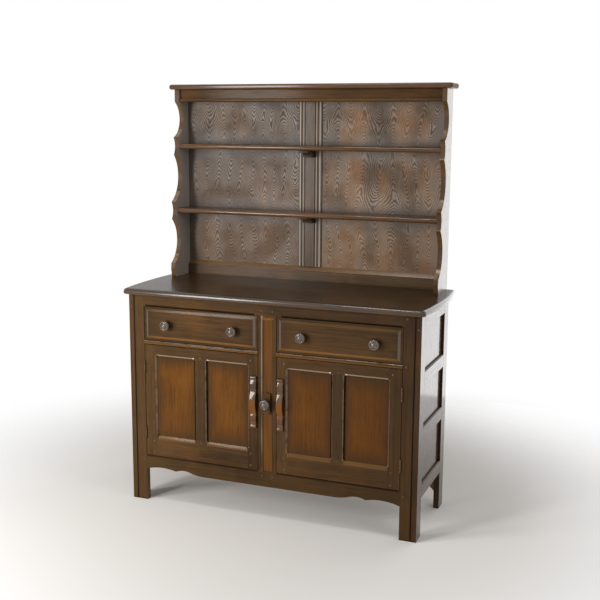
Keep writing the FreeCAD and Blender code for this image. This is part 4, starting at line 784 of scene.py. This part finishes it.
def bare_wood(grain):
    finish = Finish(f"bare wood along {grain}", Specular_IOR_Level=0.25)
    tone, streak, pores = wood_grain(finish, grain)
    mottle = (tone * BARE_TONE + streak * BARE_STREAK).between(*BARE_STEP)
    timber = finish.mix(mottle, BARE_DARK, BARE_LIGHT)
    timber = finish.mix(pores, timber, BARE_PORES, most=0.5)
    # Grime and painted shade: corners are painted darker where less light reaches them.
    corners = 1 - finish.hollows(BARE_CORNER_REACH).between(*BARE_CORNER_STEP)
    timber = finish.mix(corners, timber, BARE_GRIME_AND_SHADE, most=0.5)
    normal = finish.bump(streak * 0.5 - pores, depth=0.0003, strength=0.5)
    return finish.feed(Base_Color=timber, Roughness=streak.span(0.6, 0.8), Normal=normal).material


def aged_metal(name, bright, tarnish):
    finish = Finish(name, Metallic=1)
    spots = finish.noise(SPOT_SCALE, detail=4, roughness=0.65).between(*SPOT_STEP)
    scratches = finish.noise(SCRATCH_SCALE, detail=2, stretch=along("z", SCRATCH_STRETCH))
    normal = finish.bump((scratches - spots) * 0.5, depth=0.0001, strength=0.4)
    return finish.feed(Base_Color=finish.mix(spots, bright, tarnish),
                       Roughness=spots * 0.25 + scratches.span(0.25, 0.4), Normal=normal).material


bare_woods = {grain: bare_wood(grain) for grain in "xyz"}
brass = aged_metal("tarnished brass", bright=(0.16, 0.105, 0.045), tarnish=(0.045, 0.030, 0.016))
steel = aged_metal("dull steel", bright=(0.45, 0.45, 0.46), tarnish=(0.20, 0.19, 0.18))
print(len(bpy.data.materials), "finishes in all")

# %% [markdown]
# ## Which finish goes where
# Each board's grain runs along its length: rails and shelves from side to side, posts, stiles and
# handles upright, runners and side rails from front to back. The CAD names say what a piece is, so
# the finishes are handed out by name, and what isn't listed is frame wood with upright grain.


# %% Hand out the finishes
def pair(piece):
    """Names of the left and the right piece of a kind."""
    return [f"left_{piece}", f"right_{piece}"]


HANDED_OUT = [
    (board_wood, ["cupboard_floor", "cupboard_shelf"]),
    (top_wood, ["base_top"]),
    (top_rail_wood, ["front_top_rail"]),
    (drawer_rail_wood, ["drawer_rails"]),
    (apron_wood, ["front_apron"]),
    (side_rail_wood, ["side_rails"]),
    (side_panel_wood, ["side_panels"]),
    (centre_muntin_wood, ["centre_muntin"]),
    (stile_wood, [name for name in nodes if name.endswith(("front_stile", "side_posts"))]),
    (panel_wood, pair("door_panels")),
    (door_muntin_wood, pair("door_muntin")),
    (lipped_rail_wood, pair("door_rails")),
    (handle_wood, pair("door_handle")),
    (drawer_wood, pair("drawer_front")),
    (knob_wood, ["turn_button_knob", *pair("drawer_knobs")]),
    (peg_wood, ["frame_pegs", *pair("door_pegs")]),
    (rack_top_wood, ["rack_top"]),
    (frieze_wood, ["rack_frieze"]),
    (sheen_wood, ["rack_left_side"]),
    (rack_wood, ["rack_right_side"]),
    (shelf_wood, ["upper_shelf", "lower_shelf"]),
    (beaded_muntin_wood, ["rack_muntin"]),
    (sloped_rail_wood, ["rack_bottom_rail"]),
    (veneer, ["rack_back_panels"]),
    (plug_wood, ["shelf_brackets", "rack_side_plugs"]),
    (steel, ["rack_fixing_plates", "rack_fixing_screws"]),
    (brass, [name for name in nodes if "hinge" in name]),
    (bare_woods["x"], ["rear_rails", *pair("drawer_back"), *pair("drawer_bottom")]),
    (bare_woods["y"], ["drawer_runners", "drawer_kickers", "cupboard_battens",
                       *pair("drawer_sides")]),
    (bare_woods["z"], ["base_back_panel"]),
]
finishes = dict.fromkeys(nodes, frame_wood)
for finish, names in HANDED_OUT:
    finishes.update(dict.fromkeys(names, finish))
for name, finish in finishes.items():
    nodes[name].data.materials.clear()
    nodes[name].data.materials.append(finish)
print(len(finishes), "pieces have a finish")

# %% [markdown]
# ## Soft edges
# No edge of old furniture is sharp: sanding and polish leave a round of about a millimetre, and
# that thin round is what catches the light. Cutting it into every solid would make the CAD model
# heavy, so modifiers add it. The CAD faces arrive as loose triangles: each piece is first welded,
# its flat faces are joined again, and then a bevel rounds what is left of the sharp edges. The
# doors' rails keep all their faces, and the turned knobs are round already and are only welded.
# Three pieces stay as they came: the top board, whose nose is round already, and two sets of boards
# that touch, which a weld would join.

# %% Soften the edges
EDGE_ROUND = 0.0011
OTHER_ROUNDS = {"rack_left": 0.005, "rack_right": 0.005, "handle": 0.003, "pegs": 0.0008,
                "plugs": 0.0004, "hinge": 0.0003, "fixing": 0.0003, "knob": 0}
AS_PACKED = ("base_top", "drawer_runners", "rear_rails")
FACES_KEPT = ("door_rails", "knob", "knobs")
WELD_GAP, ROUND_STEPS, FACE_WEIGHT = 0.00001, 2, 60
FLAT_ANGLE, SHARP_ANGLE = math.radians(0.6), math.radians(28)


def soften(piece, width, flat):
    weld = piece.modifiers.new("weld", "WELD")
    weld.merge_threshold = WELD_GAP
    if flat:
        flatten = piece.modifiers.new("flatten", "DECIMATE")
        flatten.decimate_type = "DISSOLVE"
        flatten.angle_limit = FLAT_ANGLE
    if width:
        bevel = piece.modifiers.new("round", "BEVEL")
        bevel.width = width
        bevel.segments = ROUND_STEPS
        bevel.limit_method = "ANGLE"
        bevel.angle_limit = SHARP_ANGLE
        bevel.miter_outer = "MITER_ARC"
    shade = piece.modifiers.new("shade", "WEIGHTED_NORMAL")
    shade.keep_sharp = False
    shade.weight = FACE_WEIGHT


softened = {name: piece for name, piece in nodes.items() if not name.endswith(AS_PACKED)}
for name, piece in softened.items():
    widths = (width for word, width in OTHER_ROUNDS.items() if word in name)
    soften(piece, next(widths, EDGE_ROUND), flat=not name.endswith(FACES_KEPT))
print(len(softened), "pieces softened")
